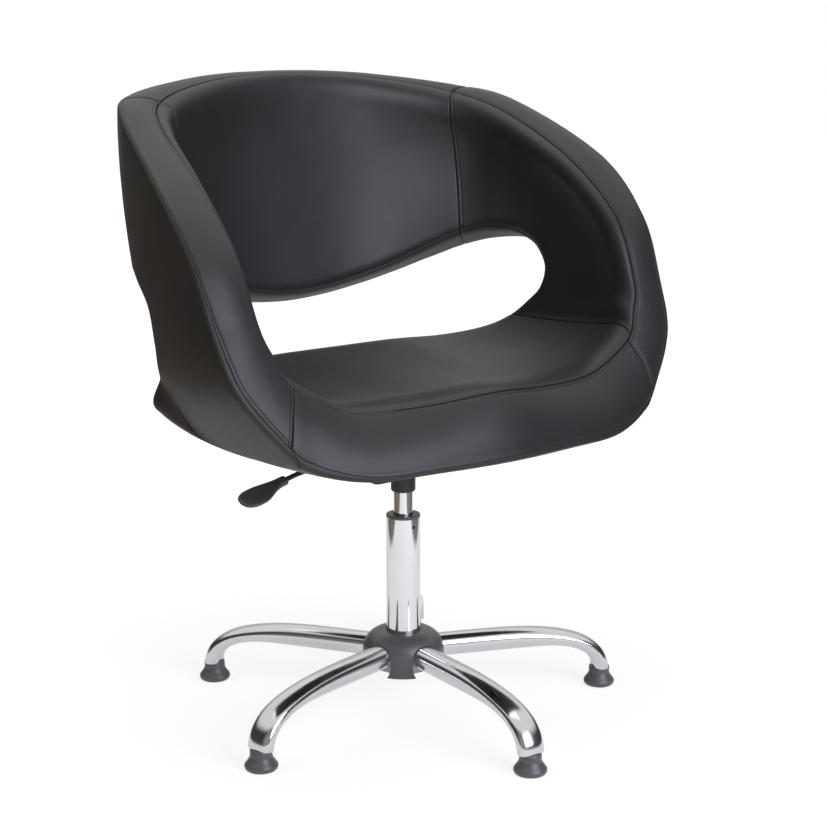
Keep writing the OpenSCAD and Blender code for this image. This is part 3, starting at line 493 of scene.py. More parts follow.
def chrome_material(name, colour, roughness):
    """Bright chrome plate over polished steel tube: a mirror with a faint haze from wiping and
    a slow waviness left by the polishing belt."""
    material, tree, shader, place = new_material(name)
    haze = add(tree, "ShaderNodeTexNoise", {
        "Vector": place, "Scale": 25.0, "Detail": 5.0, "Roughness": 0.65}).outputs["Fac"]
    gloss = add(tree, "ShaderNodeMapRange", {
        "Value": haze, "From Min": 0.3, "From Max": 0.8,
        "To Min": roughness * 0.6, "To Max": roughness * 1.7})
    belt = add(tree, "ShaderNodeTexNoise", {"Vector": place, "Scale": 60.0, "Detail": 1.0})
    bump = add(tree, "ShaderNodeBump", {
        "Height": belt.outputs["Fac"], "Strength": 0.05, "Distance": 0.0006})
    tint = add(tree, "ShaderNodeValToRGB", {"Fac": haze}, [
        (0.3, colour), (0.8, shade(colour, 0.94))])
    give(tree, shader, {
        "Base Color": tint.outputs["Color"], "Roughness": gloss.outputs["Result"],
        "Normal": bump.outputs["Normal"], "Metallic": 1.0})
    return material


def moulded_material(name, colour, roughness, grain, depth):
    """Injection-moulded plastic from a spark-textured mould: an even fine grain that breaks up
    the gloss, and a slightly paler tone on the high spots."""
    material, tree, shader, place = new_material(name)
    spark = add(tree, "ShaderNodeTexNoise", {
        "Vector": place, "Scale": grain, "Detail": 3.0, "Roughness": 0.6}).outputs["Fac"]
    flow = add(tree, "ShaderNodeTexNoise", {
        "Vector": place, "Scale": 18.0, "Detail": 2.0}).outputs["Fac"]
    tone = add(tree, "ShaderNodeValToRGB", {"Fac": flow}, [
        (0.3, shade(colour, 0.88)), (0.7, shade(colour, 1.1))])
    gloss = add(tree, "ShaderNodeMapRange", {
        "Value": spark, "To Min": roughness - 0.06, "To Max": roughness + 0.08})
    bump = add(tree, "ShaderNodeBump", {"Height": spark, "Strength": 0.3, "Distance": depth})
    give(tree, shader, {
        "Base Color": tone.outputs["Color"], "Roughness": gloss.outputs["Result"],
        "Normal": bump.outputs["Normal"], "IOR": 1.52})
    return material


def powder_coat_material(name, colour, roughness):
    """Baked black powder coat on pressed steel: half gloss with an orange-peel skin of about
    2 mm."""
    material, tree, shader, place = new_material(name)
    peel = add(tree, "ShaderNodeTexNoise", {
        "Vector": place, "Scale": 420.0, "Detail": 1.5}).outputs["Fac"]
    dust = add(tree, "ShaderNodeTexNoise", {
        "Vector": place, "Scale": 30.0, "Detail": 6.0, "Roughness": 0.7}).outputs["Fac"]
    tone = add(tree, "ShaderNodeValToRGB", {"Fac": dust}, [
        (0.35, colour), (0.8, shade(colour, 1.35))])
    gloss = add(tree, "ShaderNodeMapRange", {
        "Value": dust, "To Min": roughness - 0.08, "To Max": roughness + 0.1})
    bump = add(tree, "ShaderNodeBump", {"Height": peel, "Strength": 0.25, "Distance": 0.0002})
    give(tree, shader, {
        "Base Color": tone.outputs["Color"], "Roughness": gloss.outputs["Result"],
        "Normal": bump.outputs["Normal"], "IOR": 1.5})
    return material


def zinc_material(name, colour, roughness):
    """Zinc-plated steel: a dull metal with cloudy plating and fine drawn lines."""
    material, tree, shader, place = new_material(name)
    stretch = add(tree, "ShaderNodeMapping", {"Vector": place, "Scale": (900.0, 900.0, 40.0)})
    lines = add(tree, "ShaderNodeTexNoise", {
        "Vector": stretch.outputs["Vector"], "Scale": 1.0, "Detail": 2.0}).outputs["Fac"]
    cloud = add(tree, "ShaderNodeTexNoise", {"Vector": place, "Scale": 60.0, "Detail": 4.0})
    tone = add(tree, "ShaderNodeValToRGB", {"Fac": cloud.outputs["Fac"]}, [
        (0.3, shade(colour, 0.8)), (0.75, colour)])
    gloss = add(tree, "ShaderNodeMapRange", {
        "Value": lines, "To Min": roughness - 0.08, "To Max": roughness + 0.1})
    give(tree, shader, {"Base Color": tone.outputs["Color"],
                        "Roughness": gloss.outputs["Result"], "Metallic": 1.0})
    return material


def rubber_material(name, colour):
    """Moulded black rubber: matt, with a grey bloom in patches."""
    material, tree, shader, place = new_material(name)
    bloom = add(tree, "ShaderNodeTexNoise", {
        "Vector": place, "Scale": 80.0, "Detail": 5.0}).outputs["Fac"]
    tone = add(tree, "ShaderNodeValToRGB", {"Fac": bloom}, [
        (0.4, colour), (0.8, shade(colour, 1.7))])
    give(tree, shader, {"Base Color": tone.outputs["Color"], "Roughness": 0.75})
    return material


def plywood_material(name, colour):
    """Raw beech plywood: 1.5 mm veneers that change tone from layer to layer, and a long
    grain along the board."""
    material, tree, shader, place = new_material(name)
    layers = add(tree, "ShaderNodeTexWave", {
        "Vector": place, "Scale": 52.0, "Distortion": 0.4, "Detail": 1.0},
        bands_direction="Z").outputs["Fac"]
    stretch = add(tree, "ShaderNodeMapping", {"Vector": place, "Scale": (6.0, 90.0, 6.0)})
    grain = add(tree, "ShaderNodeTexNoise", {
        "Vector": stretch.outputs["Vector"], "Scale": 4.0, "Detail": 6.0}).outputs["Fac"]
    mixed = add(tree, "ShaderNodeMath", {0: layers, 1: 0.5, 2: grain}, operation="MULTIPLY_ADD")
    tone = add(tree, "ShaderNodeValToRGB", {"Fac": mixed.outputs[0]}, [
        (0.35, shade(colour, 0.7)), (0.95, shade(colour, 1.15))])
    give(tree, shader, {"Base Color": tone.outputs["Color"], "Roughness": 0.7})
    return material


def thread_material(name, colour):
    """Bonded polyester sewing thread: dark, with a little gloss and the twist of its plies."""
    material, tree, shader, place = new_material(name)
    plies = add(tree, "ShaderNodeTexNoise", {"Vector": place, "Scale": 3000.0}).outputs["Fac"]
    tone = add(tree, "ShaderNodeValToRGB", {"Fac": plies}, [
        (0.35, shade(colour, 0.6)), (0.65, colour)])
    give(tree, shader, {"Base Color": tone.outputs["Color"], "Roughness": 0.5})
    return material


MADE = {}


def finish_of(name):
    """A material by its name in this file, made when it is first asked for."""
    if name not in MADE:
        c = bpy.context.scene.chair_colours
        rough = c.leather_roughness
        makers = {
            "leather": (leather_material, "Pressed black leather", c.leather, rough,
                        (0.0, 0.0, 0.001)),
            # The outside leather is near-black like the covers, but drawn a little warmer and
            # browner in its colour and in its pale clouds: a painted brownish reflection on the
            # chair's outer sides.
            "outer": (leather_material, "Pressed black leather, outside", c.outer_leather,
                      rough + 0.06, (0.003, 0.0015, 0.0)),
            "chrome": (chrome_material, "Bright chrome plate", c.chrome, 0.05),
            # The arms' chrome is the column's chrome drawn 14 % darker: painted shade for the
            # darker reflections that the bent arms show.
            "chrome arm": (chrome_material, "Bright chrome plate on bent tube",
                           shade(c.chrome, 0.86), 0.15),
            "nylon": (moulded_material, "Moulded glass-filled nylon", c.plastic, 0.34, 1300.0,
                      0.0002),
            "grip": (moulded_material, "Moulded smooth nylon", c.grip, 0.34, 900.0, 0.00012),
            "powder": (powder_coat_material, "Black powder coat", linear("#202020"), 0.42),
            "oxide": (powder_coat_material, "Black oxide", linear("#090909"), 0.75),
            "zinc": (zinc_material, "Zinc-plated steel", linear("#9a9c9e"), 0.38),
            "rubber": (rubber_material, "Moulded rubber", linear("#1c1c1d")),
            "plywood": (plywood_material, "Beech plywood", linear("#c39a68")),
            "thread": (thread_material, "Bonded polyester thread", c.thread),
        }
        make, title, colour, *values = makers[name]
        MADE[name] = make(title, shade(colour, 1), *values)
    return MADE[name]


# Settings -----------------------------------------------------------------------------------

def size_property(name, description, default, low, high):
    """A length in millimetres, shown as a plain number."""
    return FloatProperty(name=name, description=description, default=default, min=low, max=high)


def colour_property(name, description, hex_colour):
    return FloatVectorProperty(name=name, description=description, subtype="COLOR", size=3,
                               min=0.0, max=1.0, default=linear(hex_colour)[:3])


class ChairSizes(bpy.types.PropertyGroup):
    """Sizes of the details that the looks add, in millimetres."""

    panel_step: size_property(
        "Panel step", "Spacing of the points in the middle of a leather panel, mm", 8.0, 4.0, 20.0)
    leather_t: size_property(
        "Leather thickness", "Thickness of the leather with its backing, mm", 3.6, 2.0, 5.0)
    seam_depth: size_property(
        "Seam depth", "How deep the leather tucks into a seam, mm", 1.3, 0.5, 4.0)
    seam_w: size_property("Seam width", "Width of one side of a seam's tuck, mm", 0.9, 0.5, 5.0)
    fullness: size_property(
        "Fullness", "How far a panel swells between its seams, mm", 0.9, 0.0, 4.0)
    topstitch: size_property(
        "Topstitch distance", "Distance of a topstitch from its seam, mm", 5.1, 3.0, 8.0)
    stitch_l: size_property("Stitch length", "Length of one stitch, mm", 3.4, 2.0, 6.0)
    stitch_pitch: size_property(
        "Stitch pitch", "Distance from stitch to stitch along a seam, mm", 4.2, 2.5, 8.0)
    thread_r: size_property("Thread radius", "Radius of the sewing thread, mm", 0.35, 0.15, 0.8)
    tube_sides: IntProperty(
        name="Tube sides", description="Faces round a star arm", default=64, min=24, max=128)


class ChairColours(bpy.types.PropertyGroup):
    """Colours and gloss of the finishes."""

    leather: colour_property("Leather", "Leather of the covers and borders", "#262628")
    # Near-black, with a warmer brown tint that is a painted brownish reflection on the outer
    # sides.
    outer_leather: colour_property("Outer leather", "Leather of the outer panels", "#252321")
    thread: colour_property("Thread", "Sewing thread", "#1b1b1c")
    chrome: colour_property("Chrome", "Chrome plate of the star and column", "#dfe1e3")
    plastic: colour_property("Nylon", "Glides and hub cover", "#565658")
    grip: colour_property("Black parts", "Grip, socket and pressed steel", "#565653")
    leather_roughness: FloatProperty(
        name="Leather roughness", description="Roughness of the leather's gloss",
        default=0.46, min=0.1, max=1.0, subtype="FACTOR")


# Upholstery ---------------------------------------------------------------------------------

# How deep and how wide the leather tucks into a seam, as shares of the plain tuck.
PLAIN_TUCK, OUTER_TUCK, INNER_TUCK, CORNER_TUCK = (1, 1), (0.4, 0.8), (1.3, 1.2), (2, 2.2)
TUCK_POWER = 1.6
FULLNESS_REACH = 20
GROOVE_DEPTH, GROOVE_W = 0.5, 0.9
# Unevenness as (height, reach from a seam, size of the waves), all in mm: the puckers at the
# seams, and the slow and the quick swelling away from them.
PUCKERS, SLOW_SWELL, QUICK_SWELL = (0.35, 10, 13), (0.9, 30, 130), (0.25, 12, 34)
THREAD_STAND = 0.15


def panel_surface(panel, sizes, stitched, seed):
    """Grid of a leather panel in mm with its tucks, its fullness and its slight unevenness,
    and the normals of the plain shell under it."""
    grid = panel_grid(panel, sizes.panel_step)
    normals = grid_normals(grid)
    distances = seam_distances(grid)
    nearest = np.minimum.reduce(distances)
    t0, t1, u0, u1 = panel
    tucks = [{OUTER_SEAM: OUTER_TUCK, INNER_SEAM: INNER_TUCK}.get(u, PLAIN_TUCK)
             for u in (u0, u1)]
    for t in (t0, t1):
        on_border = CORNER_TUCK if t % 12 in BACK_CORNERS else INNER_TUCK
        tucks.append(on_border if u0 == INNER_SEAM else PLAIN_TUCK)
    height = -sizes.seam_depth * np.maximum.reduce([
        deep * np.exp(-(distance / (sizes.seam_w * wide)) ** TUCK_POWER)
        for distance, (deep, wide) in zip(distances, tucks)])
    height += sizes.fullness * (1 - np.exp(-nearest / FULLNESS_REACH))
    for distance, sewn in zip(distances, stitched):
        if sewn:
            height -= GROOVE_DEPTH * np.exp(-((distance - sizes.topstitch) / GROOVE_W) ** 2)
    rise, reach, size = PUCKERS
    height += rise * np.exp(-nearest / reach) * wavy(grid, size, seed)
    for (rise, reach, size), shift in ((SLOW_SWELL, 20), (QUICK_SWELL, 40)):
        height += rise * (1 - np.exp(-nearest / reach)) * wavy(grid, size, seed + shift)
    return grid + normals * height[..., None], normals, distances


def stitch_lines(surface, normals, distances, stitched, offset):
    """Lines at the topstitch distance from each sewn edge of a panel, in mm."""
    lines = []
    for k, sewn in enumerate(stitched):
        if not sewn:
            continue
        grid, across = (surface, distances[k]) if k < 2 else (
            surface.transpose(1, 0, 2), distances[k].T)
        lean = normals if k < 2 else normals.transpose(1, 0, 2)
        line = []
        for strip, away, up in zip(grid, across, lean):
            order = np.argsort(away)
            at = [np.interp(offset, away[order], strip[order, i]) for i in range(3)]
            out = [np.interp(offset, away[order], up[order, i]) for i in range(3)]
            line.append(np.array(at) + np.array(out) * THREAD_STAND)
        lines.append(np.array(line)[3:-3])
    return lines


class CHAIR_OT_upholstery(bpy.types.Operator):
    """Makes the twelve leather panels of the tub, each tucked in at its seams"""

    bl_idname = "chair.upholstery"
    bl_label = "Leather panels"

    def execute(self, context):
        sizes = context.scene.chair_sizes
        lines = []
        for seed, (node, foam, t0, t1, u0, u1, finish, stitched) in enumerate(PANELS):
            surface, normals, distances = panel_surface((t0, t1, u0, u1), sizes, stitched, seed)
            rows, columns = surface.shape[:2]
            under = surface - normals * sizes.leather_t
            points = np.concatenate([surface.reshape(-1, 3), under.reshape(-1, 3)])
            faces = (grid_faces(rows, columns) + grid_faces(rows, columns, rows * columns, True)
                     + rim_faces(rows, columns))
            piece = rounded(mesh_object(f"{node}_leather", points, faces), 60)
            settle(piece, "seat_shell", finish, *filter(None, (node, foam)))
            lines += stitch_lines(surface, normals, distances, stitched, sizes.topstitch)
        add_stitches(context, lines)
        return {"FINISHED"}


def stitch_tree(material):
    """Geometry nodes that lay stitches along the edges of a mesh."""
    tree = bpy.data.node_groups.new("Stitches along seams", "GeometryNodeTree")
    tree.interface.new_socket("Geometry", in_out="INPUT", socket_type="NodeSocketGeometry")
    for name, default in (("Pitch", 0.0042), ("Stitch length", 0.0034), ("Thread radius", 0.0004)):
        socket = tree.interface.new_socket(name, in_out="INPUT", socket_type="NodeSocketFloat")
        socket.default_value = default
    tree.interface.new_socket("Geometry", in_out="OUTPUT", socket_type="NodeSocketGeometry")
    given = add(tree, "NodeGroupInput")
    curve = add(tree, "GeometryNodeMeshToCurve", {"Mesh": given.outputs["Geometry"]})
    points = add(tree, "GeometryNodeResampleCurve", {
        "Curve": curve.outputs["Curve"], "Length": given.outputs["Pitch"]}, mode="LENGTH")
    tangent = add(tree, "GeometryNodeInputTangent")
    turn = add(tree, "FunctionNodeAlignRotationToVector",
               {"Vector": tangent.outputs["Tangent"]}, axis="Z")
    bead = add(tree, "GeometryNodeMeshUVSphere", {"Segments": 6, "Rings": 5, "Radius": 1.0})
    soft = add(tree, "GeometryNodeSetShadeSmooth", {"Geometry": bead.outputs["Mesh"]})
    half = add(tree, "ShaderNodeMath", {0: given.outputs["Stitch length"], 1: 0.5},
               operation="MULTIPLY")
    size = add(tree, "ShaderNodeCombineXYZ", {
        "X": given.outputs["Thread radius"], "Y": given.outputs["Thread radius"],
        "Z": half.outputs[0]})
    laid = add(tree, "GeometryNodeInstanceOnPoints", {
        "Points": points.outputs["Curve"], "Instance": soft.outputs["Geometry"],
        "Rotation": turn.outputs["Rotation"], "Scale": size.outputs["Vector"]})
    real = add(tree, "GeometryNodeRealizeInstances", {"Geometry": laid.outputs["Instances"]})
    coloured = add(tree, "GeometryNodeSetMaterial", {
        "Geometry": real.outputs["Geometry"], "Material": material})
    add(tree, "NodeGroupOutput", {"Geometry": coloured.outputs["Geometry"]})
    return tree


def solid_result(piece, name):
    """The evaluated mesh of a piece with a geometry nodes modifier, as a plain new piece."""
    bpy.context.view_layer.update()
    graph = bpy.context.evaluated_depsgraph_get()
    mesh = bpy.data.meshes.new_from_object(piece.evaluated_get(graph))
    mesh.name = name
    piece.modifiers.clear()
    bpy.data.objects.remove(piece)
    made = bpy.data.objects.new(name, mesh)
    bpy.context.scene.collection.objects.link(made)
    return made


def add_stitches(context, lines):
    """Sews the given lines in one piece."""
    sizes = context.scene.chair_sizes
    mesh = bpy.data.meshes.new("seam_lines")
    points, edges = [], []
    for line in lines:
        start = len(points)
        points += (line * MM).tolist()
        edges += [(start + i, start + i + 1) for i in range(len(line) - 1)]
    mesh.from_pydata(points, edges, [])
    guide = bpy.data.objects.new("seam_lines", mesh)
    context.scene.collection.objects.link(guide)
    modifier = guide.modifiers.new("Stitches", "NODES")
    modifier.node_group = stitch_tree(finish_of("thread"))
    values = {"Pitch": sizes.stitch_pitch * MM, "Stitch length": sizes.stitch_l * MM,
              "Thread radius": sizes.thread_r * MM}
    for item in modifier.node_group.interface.items_tree:
        if item.in_out == "INPUT" and item.name in values:
            modifier[item.identifier] = values[item.name]
    piece = solid_result(guide, "seam_stitches")
    settle(piece, "seat_shell", "thread")


# Star base ----------------------------------------------------------------------------------

STAR_TURN = 49.5
ARM_COUNT = 5
FOOT_R = 311
HUB_FLAT_R = 38
ARM_HUB_Z = 88.5
ARM_END_Z = 30
ARM_WALL = 2
ARM_END_ROUND = 0.5
ARM_ROOT = (38, 33)
ARM_TIP = (41, 23)
ARM_CURVE = 0.36
ARM_SWAGE = 16
OVAL_POWER = 0.85


def oval(half_w, half_h, power, sides):
    """Places across and up round an oval that is squarer where the power is lower."""
    turns = full_turn(sides)
    c, s = np.cos(turns), np.sin(turns)
    return half_w * np.sign(c) * np.abs(c) ** power, half_h * np.sign(s) * np.abs(s) ** power


def arm_ring(angle, wall, sides):
    """One oval ring of an arm that points along +X, at the running angle in degrees."""
    def place(a):
        a = math.radians(min(max(a, 0.0), 90.0))
        return (HUB_FLAT_R + (FOOT_R - HUB_FLAT_R) * math.sin(a) ** ARM_CURVE,
                ARM_END_Z + (ARM_HUB_Z - ARM_END_Z) * math.cos(a))
    flat = math.cos(math.radians(angle)) ** ARM_SWAGE
    half_w = (ARM_TIP[0] + (ARM_ROOT[0] - ARM_TIP[0]) * flat) / 2 - wall
    half_h = (ARM_TIP[1] + (ARM_ROOT[1] - ARM_TIP[1]) * flat) / 2 - wall
    if angle <= 0:
        lean = 0.0
    elif angle >= 90:
        lean = math.pi / 2
    else:
        (r0, z0), (r1, z1) = place(angle - 0.05), place(angle + 0.05)
        lean = math.atan2(z0 - z1, r1 - r0)
    r, z = place(angle)
    side, up = oval(half_w, half_h, OVAL_POWER, sides)
    return np.stack([r + up * math.sin(lean), side, z + up * math.cos(lean)], axis=1)


def turned_about_axis(points, degrees):
    c, s = math.cos(math.radians(degrees)), math.sin(math.radians(degrees))
    return points @ np.array([[c, s, 0], [-s, c, 0], [0, 0, 1]])


class CHAIR_OT_star_arms(bpy.types.Operator):
    """Makes the five bent chrome arms of the star, each an open tube pressed oval at the foot"""

    bl_idname = "chair.star_arms"
    bl_label = "Star arms"

    def execute(self, context):
        sides = context.scene.chair_sizes.tube_sides
        angles = np.concatenate([[0.0], 90 * np.linspace(0.02, 1, 70) ** 1.25])
        outer, inner = (np.array([arm_ring(angle, wall, sides) for angle in angles])
                        for wall in (0.0, ARM_WALL))
        outer[-1] += (0, 0, ARM_END_ROUND + 0.1)
        edge = arm_ring(90, ARM_END_ROUND, sides) - (0, 0, ARM_END_ROUND)
        arm = np.concatenate([outer, edge[None], inner[::-1]])
        faces = grid_faces(len(arm), sides, close=True, around=True)
        for i in range(ARM_COUNT):
            points = turned_about_axis(arm.reshape(-1, 3), STAR_TURN + 72 * i)
            piece = rounded(mesh_object(f"arm_tube_{i + 1}", points, faces), 50)
            settle(piece, "base", "chrome arm", f"star_arm_{i + 1}")
        return {"FINISHED"}


GLIDE_RIM_R = 6.2
# The bell's flank, as (how far inside the rim, height) in mm.
GLIDE_BELL = ((2.6, 11.6), (4.6, 14.4), (6.6, 17.6), (7.6, 20.4), (7.8, 23.0))


class CHAIR_OT_glides(bpy.types.Operator):
    """Makes the five bell-shaped glides with their necks"""

    bl_idname = "chair.glides"
    bl_label = "Glides"

    def execute(self, context):
        top = extents("glide_1")[2]
        for i in range(ARM_COUNT):
            low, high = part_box(f"glide_{i + 1}")
            centre = ((low.x + high.x) / 2 / MM, (low.y + high.y) / 2 / MM)
            widest = (high.x - low.x) / 2 / MM
            profile = [(0, 0), (widest - 7, 0)]
            profile += arc(widest - GLIDE_RIM_R, GLIDE_RIM_R, GLIDE_RIM_R, -88, 30, 12)[1:]
            profile += [(widest - into, up) for into, up in GLIDE_BELL]
            profile += [(widest - 7.9, top - 0.6), (widest - 8.5, top), (0, top)]
            piece = lathe(f"glide_bell_{i + 1}", profile, centre, 72, 50)
            settle(piece, "base", "nylon", f"glide_{i + 1}")
        return {"FINISHED"}


HUB_WALL = 2.5
HUB_CROWN_R = 30
HUB_BORE_PLAY = 0.3
HUB_SLOT_PLAY = 0.4
HUB_EDGE_R = 1.2
# Half of a slot's side under the arm: how far it stands out from the arm's half width and below
# the arm's middle, then how far it stands in and above the hub's lower edge.
SLOT_FLANK = ((0.6, 3), (1.5, 7), (1.6, 11), (1, 15))
SLOT_FOOT = ((0.6, 6), (3.2, 1.5), (5, -5))


def hub_dome(name):
    """The moulded hub cover: a dome on a skirt, open under each arm from the tube down."""
    outer, low, high = extents("hub_cover")
    bore = extents("column_tube")[0] + HUB_BORE_PLAY
    round_r = outer - HUB_CROWN_R
    flank = high - round_r
    profile = [(outer - HUB_WALL, low), (outer - 0.6, low), (outer, low + 0.6),
               (outer, flank - 16)]
    profile += arc(HUB_CROWN_R, flank, round_r, 0, 90, 16)
    profile += [(bore + 0.8, high), (bore, high - 0.8), (bore, high - HUB_WALL)]
    profile += arc(HUB_CROWN_R, flank, round_r - HUB_WALL, 90, 0, 16)
    dome = lathe(name, profile, segments=160, angle=28)
    half_w, half_h = (size / 2 + HUB_SLOT_PLAY for size in ARM_ROOT)
    turns = np.linspace(0, math.pi, 25)
    keyhole = [(half_w * math.copysign(abs(math.cos(a)) ** OVAL_POWER, math.cos(a)),
                ARM_HUB_Z + half_h * math.sin(a) ** OVAL_POWER) for a in turns]
    side = [(half_w + out, ARM_HUB_Z - down) for out, down in SLOT_FLANK]
    side += [(half_w - into, low + up) for into, up in SLOT_FOOT]
    keyhole += [(-y, z) for y, z in side] + side[::-1]
    n = len(keyhole)
    points, faces = [], []
    for i in range(ARM_COUNT):
        ends = np.array([(r, y, z) for r in (HUB_FLAT_R, outer + 10) for y, z in keyhole])
        base = len(points)
        points += turned_about_axis(ends, STAR_TURN + 72 * i).tolist()
        faces += [(base + k, base + (k + 1) % n, base + n + (k + 1) % n, base + n + k)
                  for k in range(n)]
        faces += [tuple(base + k for k in reversed(range(n))),
                  tuple(base + n + k for k in range(n))]
    cutter = mesh_object("hub_slots", points, faces)
    weld(cutter.data)
    cut = dome.modifiers.new("Slots", "BOOLEAN")
    cut.operation = "DIFFERENCE"
    cut.solver = "EXACT"
    cut.object = cutter
    edge = dome.modifiers.new("Soft edges", "BEVEL")
    edge.width = HUB_EDGE_R * MM
    edge.segments = 3
    edge.angle_limit = math.radians(50)
    dome = solid_result(dome, name)
    bpy.data.objects.remove(cutter)
    return rounded(dome, 32)


TUBE_WALL = 1.5
COLUMN_TAPER_L = 46
COLUMN_FLOOR_T = 4
ROD_HOLE_R = 5.3
BUSH_LIP_R = 1.4
BUSH_PLAY = 0.3
SCREW_L = 5
SCREW_SHANK_R, SCREW_HEAD_R, SCREW_SOCKET_R = 2.4, 2.8, 1.3
SCREW_PROUD, SCREW_SUNK, SCREW_SOCKET_DEPTH = 0.6, 0.4, 1.4


class CHAIR_OT_hub_and_column(bpy.types.Operator):
    """Makes the hub cover, and the column tube with its bush and the screw that holds it"""

    bl_idname = "chair.hub_and_column"
    bl_label = "Hub and column"

    def execute(self, context):
        settle(hub_dome("hub_dome"), "base", "nylon", "hub_cover")
        r, low, high = extents("column_tube")
        taper, floor = low + COLUMN_TAPER_L, low + COLUMN_FLOOR_T
        tube = lathe("column_chrome", [
            (r - 0.75, low), (r, taper), (r, high - 0.5), (r - 0.5, high), (r - TUBE_WALL, high),
            (r - TUBE_WALL, taper), (r - 2.3, floor), (ROD_HOLE_R, floor), (ROD_HOLE_R, low)],
            segments=128)
        settle(tube, "base", "chrome", "column_tube")
        low, lip = extents("guide_bush")[1:]
        inner, fit = extents("lift_cylinder")[0] + BUSH_PLAY, r - TUBE_WALL - 0.05
        bush = lathe("column_bush", [
            (fit, low), (fit, high), (r - 0.2, high), (r, high + 0.4),
            *arc(r - BUSH_LIP_R, lip - BUSH_LIP_R, BUSH_LIP_R, 0, 90, 6),
            (inner + 0.8, lip), (inner, lip - 0.8), (inner, low)], segments=128)
        settle(bush, "base", "nylon", "guide_bush")
        settle(button_screw("column_button_screw", r), "base", "oxide", "column_screw")
        return {"FINISHED"}


def button_screw(name, reach):
    """The small screw that holds the bush: a low round head with a socket, square to the tube."""
    low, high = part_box("column_screw")
    centre = np.array((low + high) / 2) / MM
    out = unit(np.array([centre[0], centre[1], 0.0]))
    side, up = np.cross([0.0, 0.0, 1.0], out), np.array([0.0, 0.0, 1.0])
    face, bottom = reach + SCREW_PROUD, reach + SCREW_PROUD - SCREW_SOCKET_DEPTH
    profile = [(reach - SCREW_L, 0), (reach - SCREW_L, SCREW_SHANK_R),
               (reach - SCREW_SUNK, SCREW_SHANK_R), (reach - SCREW_SUNK, SCREW_HEAD_R),
               (face - 0.4, SCREW_HEAD_R), (face, SCREW_HEAD_R - 0.5), (face, SCREW_SOCKET_R),
               (bottom, SCREW_SOCKET_R), (bottom, 0)]
    turns = full_turn(32)
    points = [out * s + up * centre[2] + (side * math.cos(a) + up * math.sin(a)) * r
              for s, r in profile for a in turns]
    faces = grid_faces(len(profile), len(turns), close=True, turn=True)
    return rounded(mesh_object(name, points, faces), 35)


CYLINDER_WALL = 1.55
SEAT_TAPER_L = 53
SOCKET_EDGE_R = 3
PLATE_T = 2.5
PLATE_PROUD = 1
PLATE_CORNER_R = 5.0


class CHAIR_OT_gas_lift(bpy.types.Operator):
    """Makes the pressure cylinder, its black taper socket and the plate that it passes through"""

    bl_idname = "chair.gas_lift"
    bl_label = "Gas lift"

    def execute(self, context):
        r, low, high = extents("lift_cylinder")
        wall = CYLINDER_WALL
        rod = lathe("pressure_cylinder", [
            (r - 0.6, low), (r, low + 0.6), (r, high - SEAT_TAPER_L), (r - 1.5, high),
            (r - 3, high), (r - 3, high - 42), (r - wall, high - 44), (r - wall, low)])
        settle(rod, "seat_shell", "chrome", "lift_cylinder")
        bore, neck = r + 0.05, r - 1.4
        r, low, high = extents("taper_socket")
        r += 0.5
        socket = lathe("taper_sleeve", [
            (bore, low + 0.4), (bore + 0.45, low),
            *arc(r - SOCKET_EDGE_R, low + SOCKET_EDGE_R, SOCKET_EDGE_R, -90, 0, 6),
            (r, high), (neck, high), (bore, high - SEAT_TAPER_L)])
        settle(socket, "seat_shell", "powder", "taper_socket")
        settle(closing_plate("housing_closing_plate", r + 0.2), "seat_shell", "powder")
        return {"FINISHED"}


def closing_plate(name, bore):
    """The plate that closes the pressed housing from below: its corners stand out a little."""
    low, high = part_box("lift_housing")
    half_x, half_y, top = high.x / MM + PLATE_PROUD, high.y / MM + PLATE_PROUD, low.z / MM
    turns = full_turn(96) + math.pi / 96
    c, s = np.cos(turns), np.sin(turns)
    outer = np.stack([np.sign(c) * (half_x - PLATE_CORNER_R) + PLATE_CORNER_R * c,
                      np.sign(s) * (half_y - PLATE_CORNER_R) + PLATE_CORNER_R * s], axis=1)
    inner = np.stack([bore * c, bore * s], axis=1)
    rings = [(inner, top), (inner, top - PLATE_T), (outer, top - PLATE_T), (outer, top)]
    grid = np.concatenate([np.column_stack([ring, np.full(len(turns), z)]) for ring, z in rings])
    faces = grid_faces(len(rings), len(turns), close=True, turn=True, around=True)
    plate = mesh_object(name, grid, faces)
    weld(plate.data)
    return plate


# Height lever, along -X, in mm from the swivel axis.
LEVER_Z = 397.8
LEVER_R = 3.5
LEVER_PIVOT_X, LEVER_BEND_X, GRIP_END_X = -50.0, -185.0, -282
LEVER_DROOP, GRIP_DROOP, GRIP_ROLL = math.radians(6.5), math.radians(15), math.radians(-15)
PIVOT_BEND, GRIP_BEND = 6, 12
ROD_IN_GRIP = 45
GRIP_L = 80.0
GRIP_TIP_L = 20
GRIP_ROOT_L = 5
GRIP_ROOT_HALF_W, GRIP_ROOT_HALF_T = 8.0, 6.0
GRIP_WIDENS, GRIP_THINS, GRIP_BELLY = 12.0, 0.6, 3.5
GRIP_POWER = 0.85


